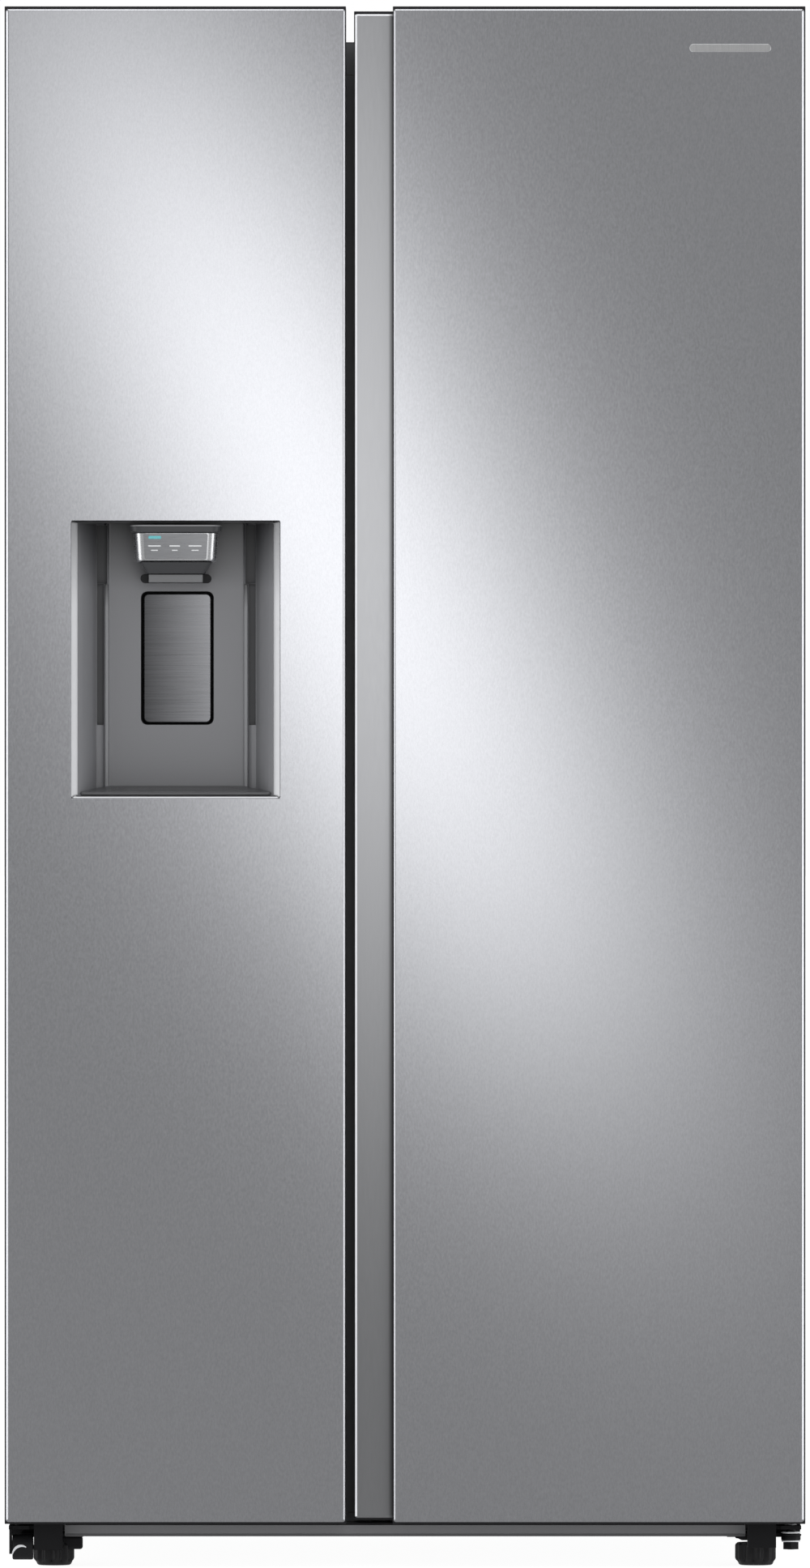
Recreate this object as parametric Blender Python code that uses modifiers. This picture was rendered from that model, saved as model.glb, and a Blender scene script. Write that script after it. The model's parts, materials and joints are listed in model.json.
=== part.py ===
"""Side by side refrigerator: a narrow freezer door on the left with an ice and water dispenser, a wide
fridge door on the right with a set-back grip strip, and one insulated cabinet behind both.

Metres, +Z up. X runs to the right, the front faces -Y, and the origin is on the floor under the
middle of the whole object.
"""

import math

import bmesh
import bpy
from mathutils import Matrix, Vector

# Driving dimensions
WIDTH = 0.9148
DEPTH = 0.857
DOOR_TOP = 1.7845
DOOR_BOTTOM = 0.0506
GAP = 0.0003            # clearance between pieces that touch

# Doors, from the front plane backwards
FRONT = -DEPTH / 2
BACK = DEPTH / 2
DOOR_THICK = 0.100
DOOR_BACK = FRONT + DOOR_THICK
DOOR_SHEET = 0.0008
DOOR_LINER = 0.002
LINER_FACE = DOOR_BACK + DOOR_LINER
SIDE = WIDTH / 2
FREEZER_DOOR_RIGHT = -0.0675
FRIDGE_PANEL_LEFT = -0.0139
STRIP_LEFT = -0.0583
STRIP_TOP = 1.7802
STRIP_BOTTOM = 0.0542
STRIP_SHEET = 0.0015
LIP = 0.012             # thickness of the door's edge in front of a finger channel
CHANNEL_BACK = 0.034    # how far the channel's rear wall is behind the door's front
FREEZER_CHANNEL = -0.0895
FRIDGE_CHANNEL = 0.012

# Hinges
HINGE_X = 0.442
HINGE_Y = -0.3665
PIN_RADIUS = 0.005
PIN_BORE = 0.0056

# Cabinet
CASE_SIDE = 0.454
CASE_FRONT = -0.3165
CASE_BACK = BACK - 0.003
CASE_TOP = 1.748
CASE_BOTTOM = 0.038
SHEET = 0.001
FLANGE = 0.0355         # width of the case's front flange
BASE_PLATE = 0.0012
LINER = 0.002
SILL_TOP = 0.0597

# Compartments, measured inside the liners
FREEZER_X = (-0.404, -0.093)
FRIDGE_X = (-0.033, 0.404)
FLOOR_Z = 0.100
CEILING_Z = 1.692
REAR_Y = 0.355
STEP_Y = 0.145          # rear wall below the step that clears the machine compartment
STEP_Z = 0.335
MACHINE_Y = 0.1995
MACHINE_Z = 0.3005
MULLION_X = (-0.0812, -0.0448)

# Inside the compartments
SHELF_FRONT = -0.205
RIB = 0.008
UPPER_DRAWER_Z = 0.345
FREEZER_SHELVES = {"freezer_shelf_lower": 0.530, "freezer_shelf_upper": 1.020}
FRIDGE_SHELVES = {"fridge_shelf_lower": 0.530, "fridge_shelf_middle": 0.900, "fridge_shelf_upper": 1.290}
SHELF_THICK = 0.006
EVAPORATOR_COVER_Y = 0.300
DUCT_Y = 0.330
DRAWER_FRONT = -0.195
DRAWER_WALL = 0.0025
DRAWER_CLEAR = 0.012    # beside the ribs, so that an open door's seal passes the drawer's front

# Door inner side
DYKE = 0.012
DYKE_BACK = -0.2945
BIN_BACK = -0.215
BIN_WALL = 0.0025
FREEZER_DYKE_X = (-0.392, -0.128)
FRIDGE_DYKE_X = (-0.004, 0.392)
DYKE_Z = (0.112, 1.680)
FREEZER_BINS = {"freezer_bin_lower": 0.150, "freezer_bin_upper": 0.560}
FRIDGE_BINS = {"fridge_bin_lower": 0.180, "fridge_bin_middle": 0.640, "fridge_bin_upper": 1.120}
BIN_HEIGHT = 0.130
FREEZER_GASKET = ((-0.440, -0.420), (-0.0915, -0.0735))
FRIDGE_GASKET = ((-0.0525, -0.0345), (0.420, 0.440))
GASKET_Z = ((0.078, 0.096), (1.697, 1.715))

# Dispenser in the freezer door
RECESS_X = (-0.3815, -0.1425)
RECESS_Z = (0.8794, 1.1967)
RECESS_RIM = 0.0065
RECESS_DEPTH = 0.068
RECESS_TAPER = 0.035
RECESS_RISE = 0.008
HOUSING_DEPTH = 0.089
LEVER_X = (-0.2997, -0.2220)
LEVER_Z = (0.9663, 1.1143)
LEVER_THICK = 0.004
LEVER_POCKET = 0.018
LEVER_GAP = 0.003
LEVER_AXIS_Z = 1.1093
NOSE_X = (-0.3127, -0.2090)
NOSE_BOTTOM = 1.1495
CHUTE_BOTTOM = 1.1243
NOSE_DEPTH = 0.040

# Running gear
FOOT_X = 0.4025
FOOT_Y = -0.330
FOOT_RADIUS = 0.024
FOOT_HEIGHT = 0.026
FRONT_ROLLER = {"y": -0.380, "z": 0.0226, "radius": 0.0145, "x": (0.4255, 0.4493)}
REAR_ROLLER_RADIUS = 0.016
REAR_ROLLER_X = 0.405
REAR_ROLLER_Y = 0.370
AXLE_RADIUS = 0.0025

# Machine compartment
FAN_CENTRE = (0.315, 0.158)
FAN_RADIUS = 0.070
FREEZER_FAN_CENTRE = (-0.2485, 1.180)
FREEZER_FAN_RADIUS = 0.052

HALF_TURN = math.pi
QUARTER = math.pi / 2
TINY = 0.0001
PAST = 0.02             # how far a cutter runs past the face it opens
AXIS_TURN = {
    "X": Matrix(((0, 0, 1), (1, 0, 0), (0, 1, 0))).to_4x4(),
    "Y": Matrix(((1, 0, 0), (0, 0, -1), (0, 1, 0))).to_4x4(),
    "Z": Matrix.Identity(4),
}

for old in list(bpy.data.objects):
    bpy.data.objects.remove(old, do_unlink=True)

PARTS = bpy.data.collections.new("side_by_side_refrigerator")
CUTTERS = bpy.data.collections.new("cutters")
bpy.context.scene.collection.children.link(PARTS)
bpy.context.scene.collection.children.link(CUTTERS)


# Materials

def material(name, colour, roughness, metallic=0.0):
    """A Principled material in one colour."""
    made = bpy.data.materials.new(name)
    made.use_nodes = True
    shader = made.node_tree.nodes["Principled BSDF"]
    shader.inputs["Base Color"].default_value = (*colour, 1.0)
    shader.inputs["Roughness"].default_value = roughness
    shader.inputs["Metallic"].default_value = metallic
    made.diffuse_color = (*colour, 1.0)
    return made


STEEL = material("stainless_steel", (0.56, 0.57, 0.59), 0.35, 1.0)
STRIP = material("strip_silver", (0.42, 0.43, 0.45), 0.40, 1.0)
CASE_PAINT = material("case_grey", (0.25, 0.25, 0.26), 0.50)
ZINC = material("zinc_plate", (0.60, 0.60, 0.60), 0.35, 1.0)
WHITE = material("liner_white", (0.86, 0.87, 0.88), 0.35)
FOAM = material("foam", (0.80, 0.74, 0.52), 0.90)
GASKET = material("gasket_grey", (0.30, 0.30, 0.31), 0.60)
GREY_PLASTIC = material("dispenser_grey", (0.15, 0.15, 0.16), 0.40)
NOSE_SILVER = material("nose_silver", (0.50, 0.50, 0.52), 0.30, 1.0)
DARK_STEEL = material("lever_steel", (0.16, 0.16, 0.17), 0.35, 1.0)
BLACK = material("black_plastic", (0.02, 0.02, 0.022), 0.45)
BLACK_METAL = material("black_metal", (0.02, 0.02, 0.02), 0.45)
RAIL_GREY = material("rail_grey", (0.10, 0.10, 0.105), 0.50)
CLEAR = material("clear_plastic", (0.80, 0.85, 0.88), 0.10)
SHELF_GLASS = material("shelf_glass", (0.78, 0.86, 0.85), 0.05)
ALUMINIUM = material("fin_aluminium", (0.70, 0.71, 0.72), 0.40, 1.0)
RUBBER = material("roller_rubber", (0.03, 0.03, 0.03), 0.70)


# Modelling helpers

def keep_only_in(obj, collection):
    """Moves an object from whatever collection made it into the one given."""
    for owner in list(obj.users_collection):
        owner.objects.unlink(obj)
    collection.objects.link(obj)


def box(corner_a, corner_b, bevel=0.0, segments=2):
    """A box between two opposite corners, with its edges rounded if bevel is more than 0."""
    low = Vector(min(a, b) for a, b in zip(corner_a, corner_b))
    high = Vector(max(a, b) for a, b in zip(corner_a, corner_b))
    bpy.ops.mesh.primitive_cube_add(size=1.0, location=(low + high) / 2)
    made = bpy.context.object
    size = high - low
    made.data.transform(Matrix.Diagonal((*size, 1.0)))
    if bevel > 0:
        rounding = made.modifiers.new("rounding", "BEVEL")
        rounding.width = bevel
        rounding.segments = segments
        rounding.limit_method = "ANGLE"
    return made


def cylinder(centre, radius, length, axis="Z", sides=24):
    """A cylinder centred on a point, with its length along a row axis."""
    turn = AXIS_TURN[axis].to_euler()
    bpy.ops.mesh.primitive_cylinder_add(
        vertices=sides, radius=radius, depth=length, location=centre, rotation=turn)
    made = bpy.context.object
    made.data.shade_smooth()
    made.data.set_sharp_from_angle(angle=math.radians(40))
    return made


def mesh_from_curve(curve_object):
    """A curve object made into a welded mesh object in the same place."""
    bpy.context.view_layer.update()
    graph = bpy.context.evaluated_depsgraph_get()
    mesh = bpy.data.meshes.new_from_object(curve_object.evaluated_get(graph))
    work = bmesh.new()
    work.from_mesh(mesh)
    bmesh.ops.remove_doubles(work, verts=work.verts, dist=TINY / 10)
    bmesh.ops.recalc_face_normals(work, faces=work.faces)
    work.to_mesh(mesh)
    work.free()
    made = bpy.data.objects.new(curve_object.name, mesh)
    made.matrix_world = curve_object.matrix_world
    bpy.context.scene.collection.objects.link(made)
    bpy.data.objects.remove(curve_object, do_unlink=True)
    return made


def prism(outline, axis, low, high):
    """A flat outline pushed along a row axis.

    The outline's pairs are (y, z) for axis X, (x, z) for axis Y and (x, y) for axis Z.
    """
    curve = bpy.data.curves.new("outline", "CURVE")
    curve.dimensions = "2D"
    curve.fill_mode = "BOTH"
    curve.extrude = (high - low) / 2
    spline = curve.splines.new("POLY")
    spline.points.add(len(outline) - 1)
    for point, (u, v) in zip(spline.points, outline):
        point.co = (u, v, 0, 1)
    spline.use_cyclic_u = True
    made = bpy.data.objects.new("outline", curve)
    bpy.context.scene.collection.objects.link(made)
    middle = (low + high) / 2
    offset = {"X": (middle, 0, 0), "Y": (0, middle, 0), "Z": (0, 0, middle)}[axis]
    made.matrix_world = Matrix.Translation(offset) @ AXIS_TURN[axis]
    return mesh_from_curve(made)


def tube(points, radius, resolution=2):
    """A round bar or tube along straight runs between points."""
    curve = bpy.data.curves.new("tube", "CURVE")
    curve.dimensions = "3D"
    curve.bevel_depth = radius
    curve.bevel_resolution = resolution
    curve.use_fill_caps = True
    spline = curve.splines.new("POLY")
    spline.points.add(len(points) - 1)
    for point, place in zip(spline.points, points):
        point.co = (*place, 1)
    made = bpy.data.objects.new("tube", curve)
    bpy.context.scene.collection.objects.link(made)
    return mesh_from_curve(made)


def boolean(target, tool, operation):
    """One exact Boolean modifier whose tool is put with the cutters."""
    keep_only_in(tool, CUTTERS)
    tool.hide_render = True
    tool.display_type = "WIRE"
    step = target.modifiers.new(operation.lower(), "BOOLEAN")
    step.operation = operation
    step.solver = "EXACT"
    step.object = tool
    return target


def cut(target, *tools):
    """Takes each tool's shape out of the target."""
    for tool in tools:
        boolean(target, tool, "DIFFERENCE")
    return target


def join(target, *tools):
    """Adds each tool's shape to the target."""
    for tool in tools:
        boolean(target, tool, "UNION")
    return target


def part(obj, name, look, parent=None):
    """Names a finished piece, gives it its material and hangs it on its moving frame."""
    obj.name = name
    obj.data.name = name
    obj.data.materials.clear()
    obj.data.materials.append(look)
    keep_only_in(obj, PARTS)
    if parent is not None:
        obj.parent = parent
        obj.matrix_parent_inverse = parent.matrix_world.inverted()
    return obj


def pivot(name, place, parent=None):
    """An empty on a joint's axis."""
    made = bpy.data.objects.new(name, None)
    made.empty_display_size = 0.05
    PARTS.objects.link(made)
    made.location = place
    bpy.context.view_layer.update()
    if parent is not None:
        made.parent = parent
        made.matrix_parent_inverse = parent.matrix_world.inverted()
        bpy.context.view_layer.update()
    return made


def tray(low, high, wall):
    """An open-topped box with walls of one thickness."""
    inner_low = (low[0] + wall, low[1] + wall, low[2] + wall)
    inner_high = (high[0] - wall, high[1] - wall, high[2] + PAST)
    return cut(box(low, high), box(inner_low, inner_high))


def ring(low, high, inner_low, inner_high, axis_low, axis_high):
    """A rectangular frame in the XZ plane between two depths."""
    outer = box((low[0], axis_low, low[1]), (high[0], axis_high, high[1]))
    hole_low = (inner_low[0], axis_low - PAST, inner_low[1])
    hole_high = (inner_high[0], axis_high + PAST, inner_high[1])
    hole = box(hole_low, hole_high)
    return cut(outer, hole)


def sheet_outline(path, thickness):
    """The closed outline of a bent sheet: its outer path, and the same path set off to its left."""
    def left_of(start, end):
        along = (Vector(end) - Vector(start)).normalized()
        return Vector((-along.y, along.x))

    inner = []
    last = len(path) - 1
    for index, place in enumerate(path):
        before = left_of(path[index - 1], place) if index > 0 else left_of(place, path[1])
        after = left_of(place, path[index + 1]) if index < last else before
        mitre = (before + after) / (1 + before.dot(after))
        inner.append(tuple(Vector(place) + mitre * thickness))
    return list(path) + inner[::-1]


# Cabinet

def compartment_outline(grow, front):
    """A compartment's side view, its rear stepped forward over the machine compartment."""
    return [
        (front, FLOOR_Z - grow),
        (STEP_Y + grow, FLOOR_Z - grow),
        (STEP_Y + grow, STEP_Z - grow),
        (REAR_Y + grow, STEP_Z - grow),
        (REAR_Y + grow, CEILING_Z + grow),
        (front, CEILING_Z + grow),
    ]


def outer_case():
    """The painted wrapper: two sides, the top, and a narrow flange round the front."""
    case = box((-CASE_SIDE, CASE_FRONT, CASE_BOTTOM), (CASE_SIDE, CASE_BACK, CASE_TOP))
    inside = CASE_SIDE - SHEET
    cut(case, box((-inside, CASE_FRONT + SHEET, 0), (inside, BACK + PAST, CASE_TOP - SHEET)))
    opening = CASE_SIDE - FLANGE
    cut(case, box((-opening, CASE_FRONT - PAST, 0), (opening, CASE_FRONT + PAST, CASE_TOP - FLANGE - 0.002)))
    return part(case, "outer_case", CASE_PAINT)


def insulation():
    """Foam filling everything between the outer case and the two liners."""
    side = CASE_SIDE - SHEET - GAP
    base = CASE_BOTTOM + BASE_PLATE + GAP
    low = (-side, CASE_FRONT + LINER + GAP, base)
    high = (side, CASE_BACK - GAP, CASE_TOP - SHEET - GAP)
    foam = box(low, high)
    clear = LINER + GAP
    for left, right in (FREEZER_X, FRIDGE_X):
        outline = compartment_outline(clear, CASE_FRONT - PAST)
        cut(foam, prism(outline, "X", left - clear, right + clear))
    cut(foam, box((-SIDE, MACHINE_Y, 0), (SIDE, BACK + PAST, MACHINE_Z)))
    return part(foam, "insulation_foam", FOAM)


def liner(name, inside, flange_x, supports):
    """A compartment's moulded liner with its front flange and a pair of ribs under each shelf."""
    left, right = inside
    shell = prism(compartment_outline(LINER, CASE_FRONT), "X", left - LINER, right + LINER)
    flange_low = (flange_x[0], CASE_FRONT, SILL_TOP + GAP)
    flange_high = (flange_x[1], CASE_FRONT + LINER, CASE_TOP - FLANGE - 0.002 - GAP)
    join(shell, box(flange_low, flange_high))
    cut(shell, prism(compartment_outline(0, CASE_FRONT - PAST), "X", left, right))
    for top in supports:
        for wall, inner in ((left, left + RIB), (right, right - RIB)):
            outer = wall - LINER / 2 if wall == left else wall + LINER / 2
            rib_low = (outer, SHELF_FRONT + 0.012, top - GAP - RIB)
            join(shell, box(rib_low, (inner, EVAPORATOR_COVER_Y - 0.012, top - GAP)))
    return part(shell, name, WHITE)


def cabinet_fronts():
    """The steel cover between the two compartments."""
    low = (MULLION_X[0], CASE_FRONT, SILL_TOP + GAP)
    high = (MULLION_X[1], CASE_FRONT + LINER, CASE_TOP - FLANGE - 0.002 - GAP)
    part(box(low, high), "mullion_cover", ZINC)


def base_rail():
    """The sill under the compartments and the grey bar that shows under the doors."""
    side = CASE_SIDE - FLANGE - GAP
    floor = CASE_BOTTOM + BASE_PLATE + GAP
    sill = box((-side, CASE_FRONT, floor), (side, CASE_FRONT + LINER, SILL_TOP))
    bar_x = 0.390
    bar_y = -0.362
    bar_z = (0.0347, 0.0495)
    wall = 0.0018
    join(sill, box((-bar_x, bar_y, bar_z[1] - wall), (bar_x, CASE_FRONT + LINER / 2, bar_z[1])))
    join(sill, box((-bar_x, bar_y, bar_z[0]), (bar_x, bar_y + wall, bar_z[1])))
    return part(sill, "base_rail", RAIL_GREY)


def base_plate():
    """The steel base under the cabinet, with the cheeks and axles of the two rear rollers."""
    side = CASE_SIDE - SHEET - GAP
    top = CASE_BOTTOM + BASE_PLATE
    plate = box((-side, CASE_FRONT + LINER + GAP, CASE_BOTTOM), (side, CASE_BACK, top))
    half = 0.013
    cheek = 0.002
    for hand in (-1, 1):
        centre = hand * REAR_ROLLER_X
        for out in (-1, 1):
            near = centre + out * (half + 0.0008)
            low = (near, REAR_ROLLER_Y - 0.012, REAR_ROLLER_RADIUS - 0.006)
            join(plate, box(low, (near + out * cheek, REAR_ROLLER_Y + 0.012, top - BASE_PLATE / 2)))
        axle = cylinder((centre, REAR_ROLLER_Y, REAR_ROLLER_RADIUS), AXLE_RADIUS, 2 * half + 0.003, "X", 12)
        join(plate, axle)
    return part(plate, "base_plate", ZINC)


def rear_panels():
    """The ribbed back sheet and, below it, the slotted cover of the machine compartment."""
    near = CASE_BACK + GAP
    side = 0.450
    split = 0.3055
    sheet = box((-side, near, split), (side, near + SHEET, CASE_TOP - 0.0015))
    for height in (0.62, 1.03, 1.44):
        join(sheet, box((-side + 0.06, near + SHEET / 2, height - 0.02), (side - 0.06, BACK, height + 0.02)))
    part(sheet, "back_panel", ZINC)

    cover = box((-side, near, CASE_BOTTOM + 0.0015), (side, near + 0.0012, split - 0.0005))
    for row in range(5):
        for column in range(6):
            x = -0.31 + column * 0.098
            z = 0.105 + row * 0.034
            cut(cover, box((x - 0.040, near - PAST, z - 0.005), (x + 0.040, BACK + PAST, z + 0.005)))
    cut(cover, cylinder((0.345, BACK, 0.215), 0.0095, 0.04, "Y", 20))
    part(cover, "machine_cover", ZINC)

    gland = cylinder((0.345, BACK - 0.009, 0.215), 0.009, 0.018, "Y", 20)
    join(gland, cylinder((0.345, near - GAP - 0.003, 0.215), 0.014, 0.005, "Y", 20))
    cut(gland, cylinder((0.345, BACK, 0.215), 0.0045, 0.06, "Y", 16))
    part(gland, "power_gland", BLACK)


def turned(outline, place, steps=24):
    """A body turned about the vertical from an outline that runs down its outer side."""
    mesh = bpy.data.meshes.new("turned")
    points = [(radius, 0, height) for radius, height in outline]
    mesh.from_pydata(points, [(i, i + 1) for i in range(len(points) - 1)], [])
    made = bpy.data.objects.new("turned", mesh)
    bpy.context.scene.collection.objects.link(made)
    made.location = place
    screw = made.modifiers.new("turn", "SCREW")
    screw.steps = steps
    screw.render_steps = steps
    screw.use_merge_vertices = True
    screw.merge_threshold = TINY / 10
    screw.use_smooth_shade = True
    return made


def compressor():
    """A domed can on a mounting plate with four short legs."""
    place = (0.270, 0.315, CASE_BOTTOM + BASE_PLATE + GAP)
    radius = 0.078
    dome = [(math.sin(t) * radius, 0.135 + 0.045 * math.cos(t)) for t in [QUARTER * k / 5 for k in range(6)]]
    foot = [(radius, 0.045), (radius * 0.8, 0.022), (radius * 0.45, 0.014), (0.0, 0.014)]
    dome[0] = (0.0, dome[0][1])
    can = turned(dome + foot, place)
    plate_z = place[2] + 0.012
    plate_low = (place[0] - 0.095, place[1] - 0.055, plate_z)
    plate_high = (place[0] + 0.095, place[1] + 0.055, plate_z + 0.004)
    join(can, box(plate_low, plate_high))
    for across in (-0.080, 0.080):
        for along in (-0.042, 0.042):
            centre = (place[0] + across, place[1] + along, place[2] + 0.007)
            join(can, cylinder(centre, 0.010, 0.014, "Z", 12))
    return part(can, "compressor", BLACK_METAL)


def condenser():
    """A tube snaking through three layers beside the fan."""
    points = []
    for layer, y in enumerate((0.262, 0.315, 0.368)):
        levels = [0.075 + 0.042 * row for row in range(5)]
        if layer % 2:
            levels.reverse()
        for row, z in enumerate(levels):
            ends = (-0.120, 0.080)
            if (row + layer) % 2:
                ends = ends[::-1]
            points += [(ends[0], y, z), (ends[1], y, z)]
    return part(tube(points, 0.0045, 1), "condenser", BLACK_METAL)


def drain_pan():
    """The shallow pan that catches the defrost water beside the condenser."""
    floor = CASE_BOTTOM + BASE_PLATE + GAP
    return part(tray((-0.420, 0.225, floor), (-0.160, 0.405, floor + 0.045), 0.002), "drain_pan", BLACK)


def fan_wheel(centre, radius, hub, depth, axis):
    """A five-bladed wheel about a row axis, its blades set at a pitch."""
    wheel = cylinder(centre, hub, depth, axis, 20)
    frame = Matrix.Translation(centre) @ AXIS_TURN[axis]
    for blade in range(5):
        vane = box((hub - 0.003, -0.016, -0.0009), (radius, 0.016, 0.0009))
        spin = Matrix.Rotation(2 * HALF_TURN * blade / 5, 4, "Z")
        pitch = Matrix.Rotation(math.radians(24), 4, "X")
        vane.matrix_world = frame @ spin @ pitch @ vane.matrix_world
        join(wheel, vane)
    return wheel


def condenser_fan_and_bracket():
    """The bracket that holds the fan motor, and the wheel that draws air over the condenser."""
    plate_x = 0.108
    y, z = FAN_CENTRE
    floor = CASE_BOTTOM + BASE_PLATE + GAP
    bracket = box((plate_x, y - 0.098, floor), (plate_x + 0.002, y + 0.098, 0.290))
    cut(bracket, cylinder((plate_x, y, z), FAN_RADIUS + 0.008, 0.02, "X", 32))
    strap_x = plate_x + 0.042
    join(bracket, box((strap_x, y - 0.092, z - 0.009), (strap_x + 0.003, y + 0.092, z + 0.009)))
    for hand in (-1, 1):
        low = (plate_x + 0.001, y + hand * 0.089, z - 0.009)
        join(bracket, box(low, (strap_x + 0.002, y + hand * 0.092, z + 0.009)))
    join(bracket, cylinder((strap_x - 0.0065, y, z), 0.021, 0.016, "X", 20))
    part(bracket, "fan_bracket", ZINC)

    wheel_x = plate_x + 0.0165
    axis = pivot("condenser_fan_axis", (wheel_x, y, z))
    part(fan_wheel((wheel_x, y, z), FAN_RADIUS, 0.018, 0.020, "X"), "condenser_fan", BLACK, axis)


# Freezer and fridge interiors

def evaporator_group():
    """The slotted rear cover of the freezer, with the evaporator and its fan behind it."""
    left = FREEZER_X[0] + GAP
    right = FREEZER_X[1] - GAP
    near = EVAPORATOR_COVER_Y
    cover = box((left, near, STEP_Z + GAP), (right, near + 0.0025, 1.640))
    x, z = FREEZER_FAN_CENTRE
    for row in range(5):
        height = z - 0.044 + row * 0.022
        half = 0.040 if row in (0, 4) else 0.050
        cut(cover, box((x - half, near - PAST, height - 0.005), (x + half, near + PAST, height + 0.005)))
    for row in range(3):
        height = 0.400 + row * 0.022
        cut(cover, box((x - 0.11, near - PAST, height - 0.004), (x + 0.11, near + PAST, height + 0.004)))
    strap_y = near + 0.040
    join(cover, box((x - 0.070, strap_y, z - 0.008), (x + 0.070, strap_y + 0.003, z + 0.008)))
    for hand in (-1, 1):
        low = (x + hand * 0.067, near + 0.001, z - 0.008)
        join(cover, box(low, (x + hand * 0.070, strap_y + 0.002, z + 0.008)))
    join(cover, cylinder((x, strap_y - 0.004, z), 0.016, 0.010, "Y", 20))
    part(cover, "evaporator_cover", WHITE)

    centre = (x, near + 0.0205, z)
    axis = pivot("freezer_fan_axis", centre)
    part(fan_wheel(centre, FREEZER_FAN_RADIUS, 0.015, 0.018, "Y"), "freezer_fan", BLACK, axis)

    points = []
    for row in range(12):
        ends = (left + 0.020, right - 0.020)
        if row % 2:
            ends = ends[::-1]
        height = 0.480 + 0.045 * row
        points += [(ends[0], near + 0.030, height), (ends[1], near + 0.030, height)]
    part(tube(points, 0.0045, 1), "evaporator", ALUMINIUM)


def duct_cover():
    """The raised cold-air duct up the rear wall of the fridge, with an outlet above each shelf."""
    centre = sum(FRIDGE_X) / 2
    duct = box((centre - 0.090, DUCT_Y, STEP_Z + GAP), (centre + 0.090, REAR_Y - GAP, 1.640))
    for height in (0.700, 1.080, 1.480):
        for row in (-1, 0, 1):
            z = height + row * 0.018
            slot_low = (centre - 0.060, DUCT_Y - PAST, z - 0.004)
            slot_high = (centre + 0.060, DUCT_Y + 0.012, z + 0.004)
            cut(duct, box(slot_low, slot_high))
    return part(duct, "fridge_duct_cover", WHITE)


def shelves():
    """Glass shelves, each with a trim along its front edge, resting on the liners' ribs."""
    for shelf_set, (left, right), rear in (
            (FREEZER_SHELVES, FREEZER_X, EVAPORATOR_COVER_Y - 0.002),
            (FRIDGE_SHELVES, FRIDGE_X, DUCT_Y - 0.004)):
        for name, height in shelf_set.items():
            low = (left + 0.001, SHELF_FRONT, height)
            pane = box(low, (right - 0.001, rear, height + SHELF_THICK))
            trim_low = (left + 0.001, SHELF_FRONT, height - 0.004)
            join(pane, box(trim_low, (right - 0.001, SHELF_FRONT + 0.010, height + SHELF_THICK + 0.004)))
            part(pane, name, SHELF_GLASS)


def drawer(name, inside, floor, height, rear, look, hinge_name):
    """A pull-out drawer with a front that stands a little above its sides."""
    left = inside[0] + RIB + DRAWER_CLEAR
    right = inside[1] - RIB - DRAWER_CLEAR
    body = tray((left, DRAWER_FRONT + 0.002, floor), (right, rear, floor + height), DRAWER_WALL)
    front_low = (left - 0.004, DRAWER_FRONT, floor + 0.001)
    join(body, box(front_low, (right + 0.004, DRAWER_FRONT + 0.005, floor + height + 0.006)))
    lip_low = (left + 0.020, DRAWER_FRONT + 0.001, floor + height - 0.020)
    join(body, box(lip_low, (right - 0.020, DRAWER_FRONT + 0.016, floor + height - 0.016)))
    axis = pivot(hinge_name, ((left + right) / 2, DRAWER_FRONT, floor))
    return part(body, name, look, axis)


def drawers():
    """Two drawers at the bottom of each compartment."""
    lower_z = FLOOR_Z + GAP
    rears = {"lower": STEP_Y - 0.010, "upper": 0.280}
    heights = {"lower": 0.212, "upper": 0.160}
    floors = {"lower": lower_z, "upper": UPPER_DRAWER_Z}
    for place in ("lower", "upper"):
        for kind, inside in (("freezer", FREEZER_X), ("crisper", FRIDGE_X)):
            name = kind + "_drawer_" + place
            drawer(name, inside, floors[place], heights[place], rears[place], CLEAR, name + "_slide")


# Hinges, legs and rollers

def top_hinge(hand, side):
    """A steel hinge bolted to the cabinet's top, whose arm passes over the door, and its cover."""
    outer = hand * 0.450
    arm_z = (DOOR_TOP + 0.0006, DOOR_TOP + 0.0030)
    base_z = CASE_TOP + GAP
    riser_y = (-0.3232, -0.3210)
    hinge = box((hand * 0.380, riser_y[0], base_z), (outer, -0.215, base_z + 0.0025))
    join(hinge, box((hand * 0.425, riser_y[0], base_z), (outer, riser_y[1], arm_z[1])))
    join(hinge, box((hand * 0.425, -0.385, arm_z[0]), (outer, riser_y[1], arm_z[1])))
    pin_low = DOOR_TOP - 0.026
    pin_centre = (hand * HINGE_X, HINGE_Y, (pin_low + arm_z[1] - TINY) / 2)
    join(hinge, cylinder(pin_centre, PIN_RADIUS, arm_z[1] - TINY - pin_low, "Z", 20))
    part(hinge, "top_hinge_" + side, ZINC)

    wall = 0.002
    top = DOOR_TOP + 0.004
    low = (hand * 0.372, -0.3205, base_z)
    cover = box(low, (hand * 0.4538, -0.195, top), 0.004, 2)
    hollow_low = (hand * (0.372 + wall), -0.3205 + wall, 0)
    hollow_high = (hand * (0.4538 - wall), -0.195 - wall, top - wall)
    cut(cover, box(hollow_low, hollow_high))
    cut(cover, box((hand * 0.379, -0.34, 0), (hand * 0.451, -0.31, base_z + 0.0030)))
    part(cover, "hinge_cover_" + side, CASE_PAINT)


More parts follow.
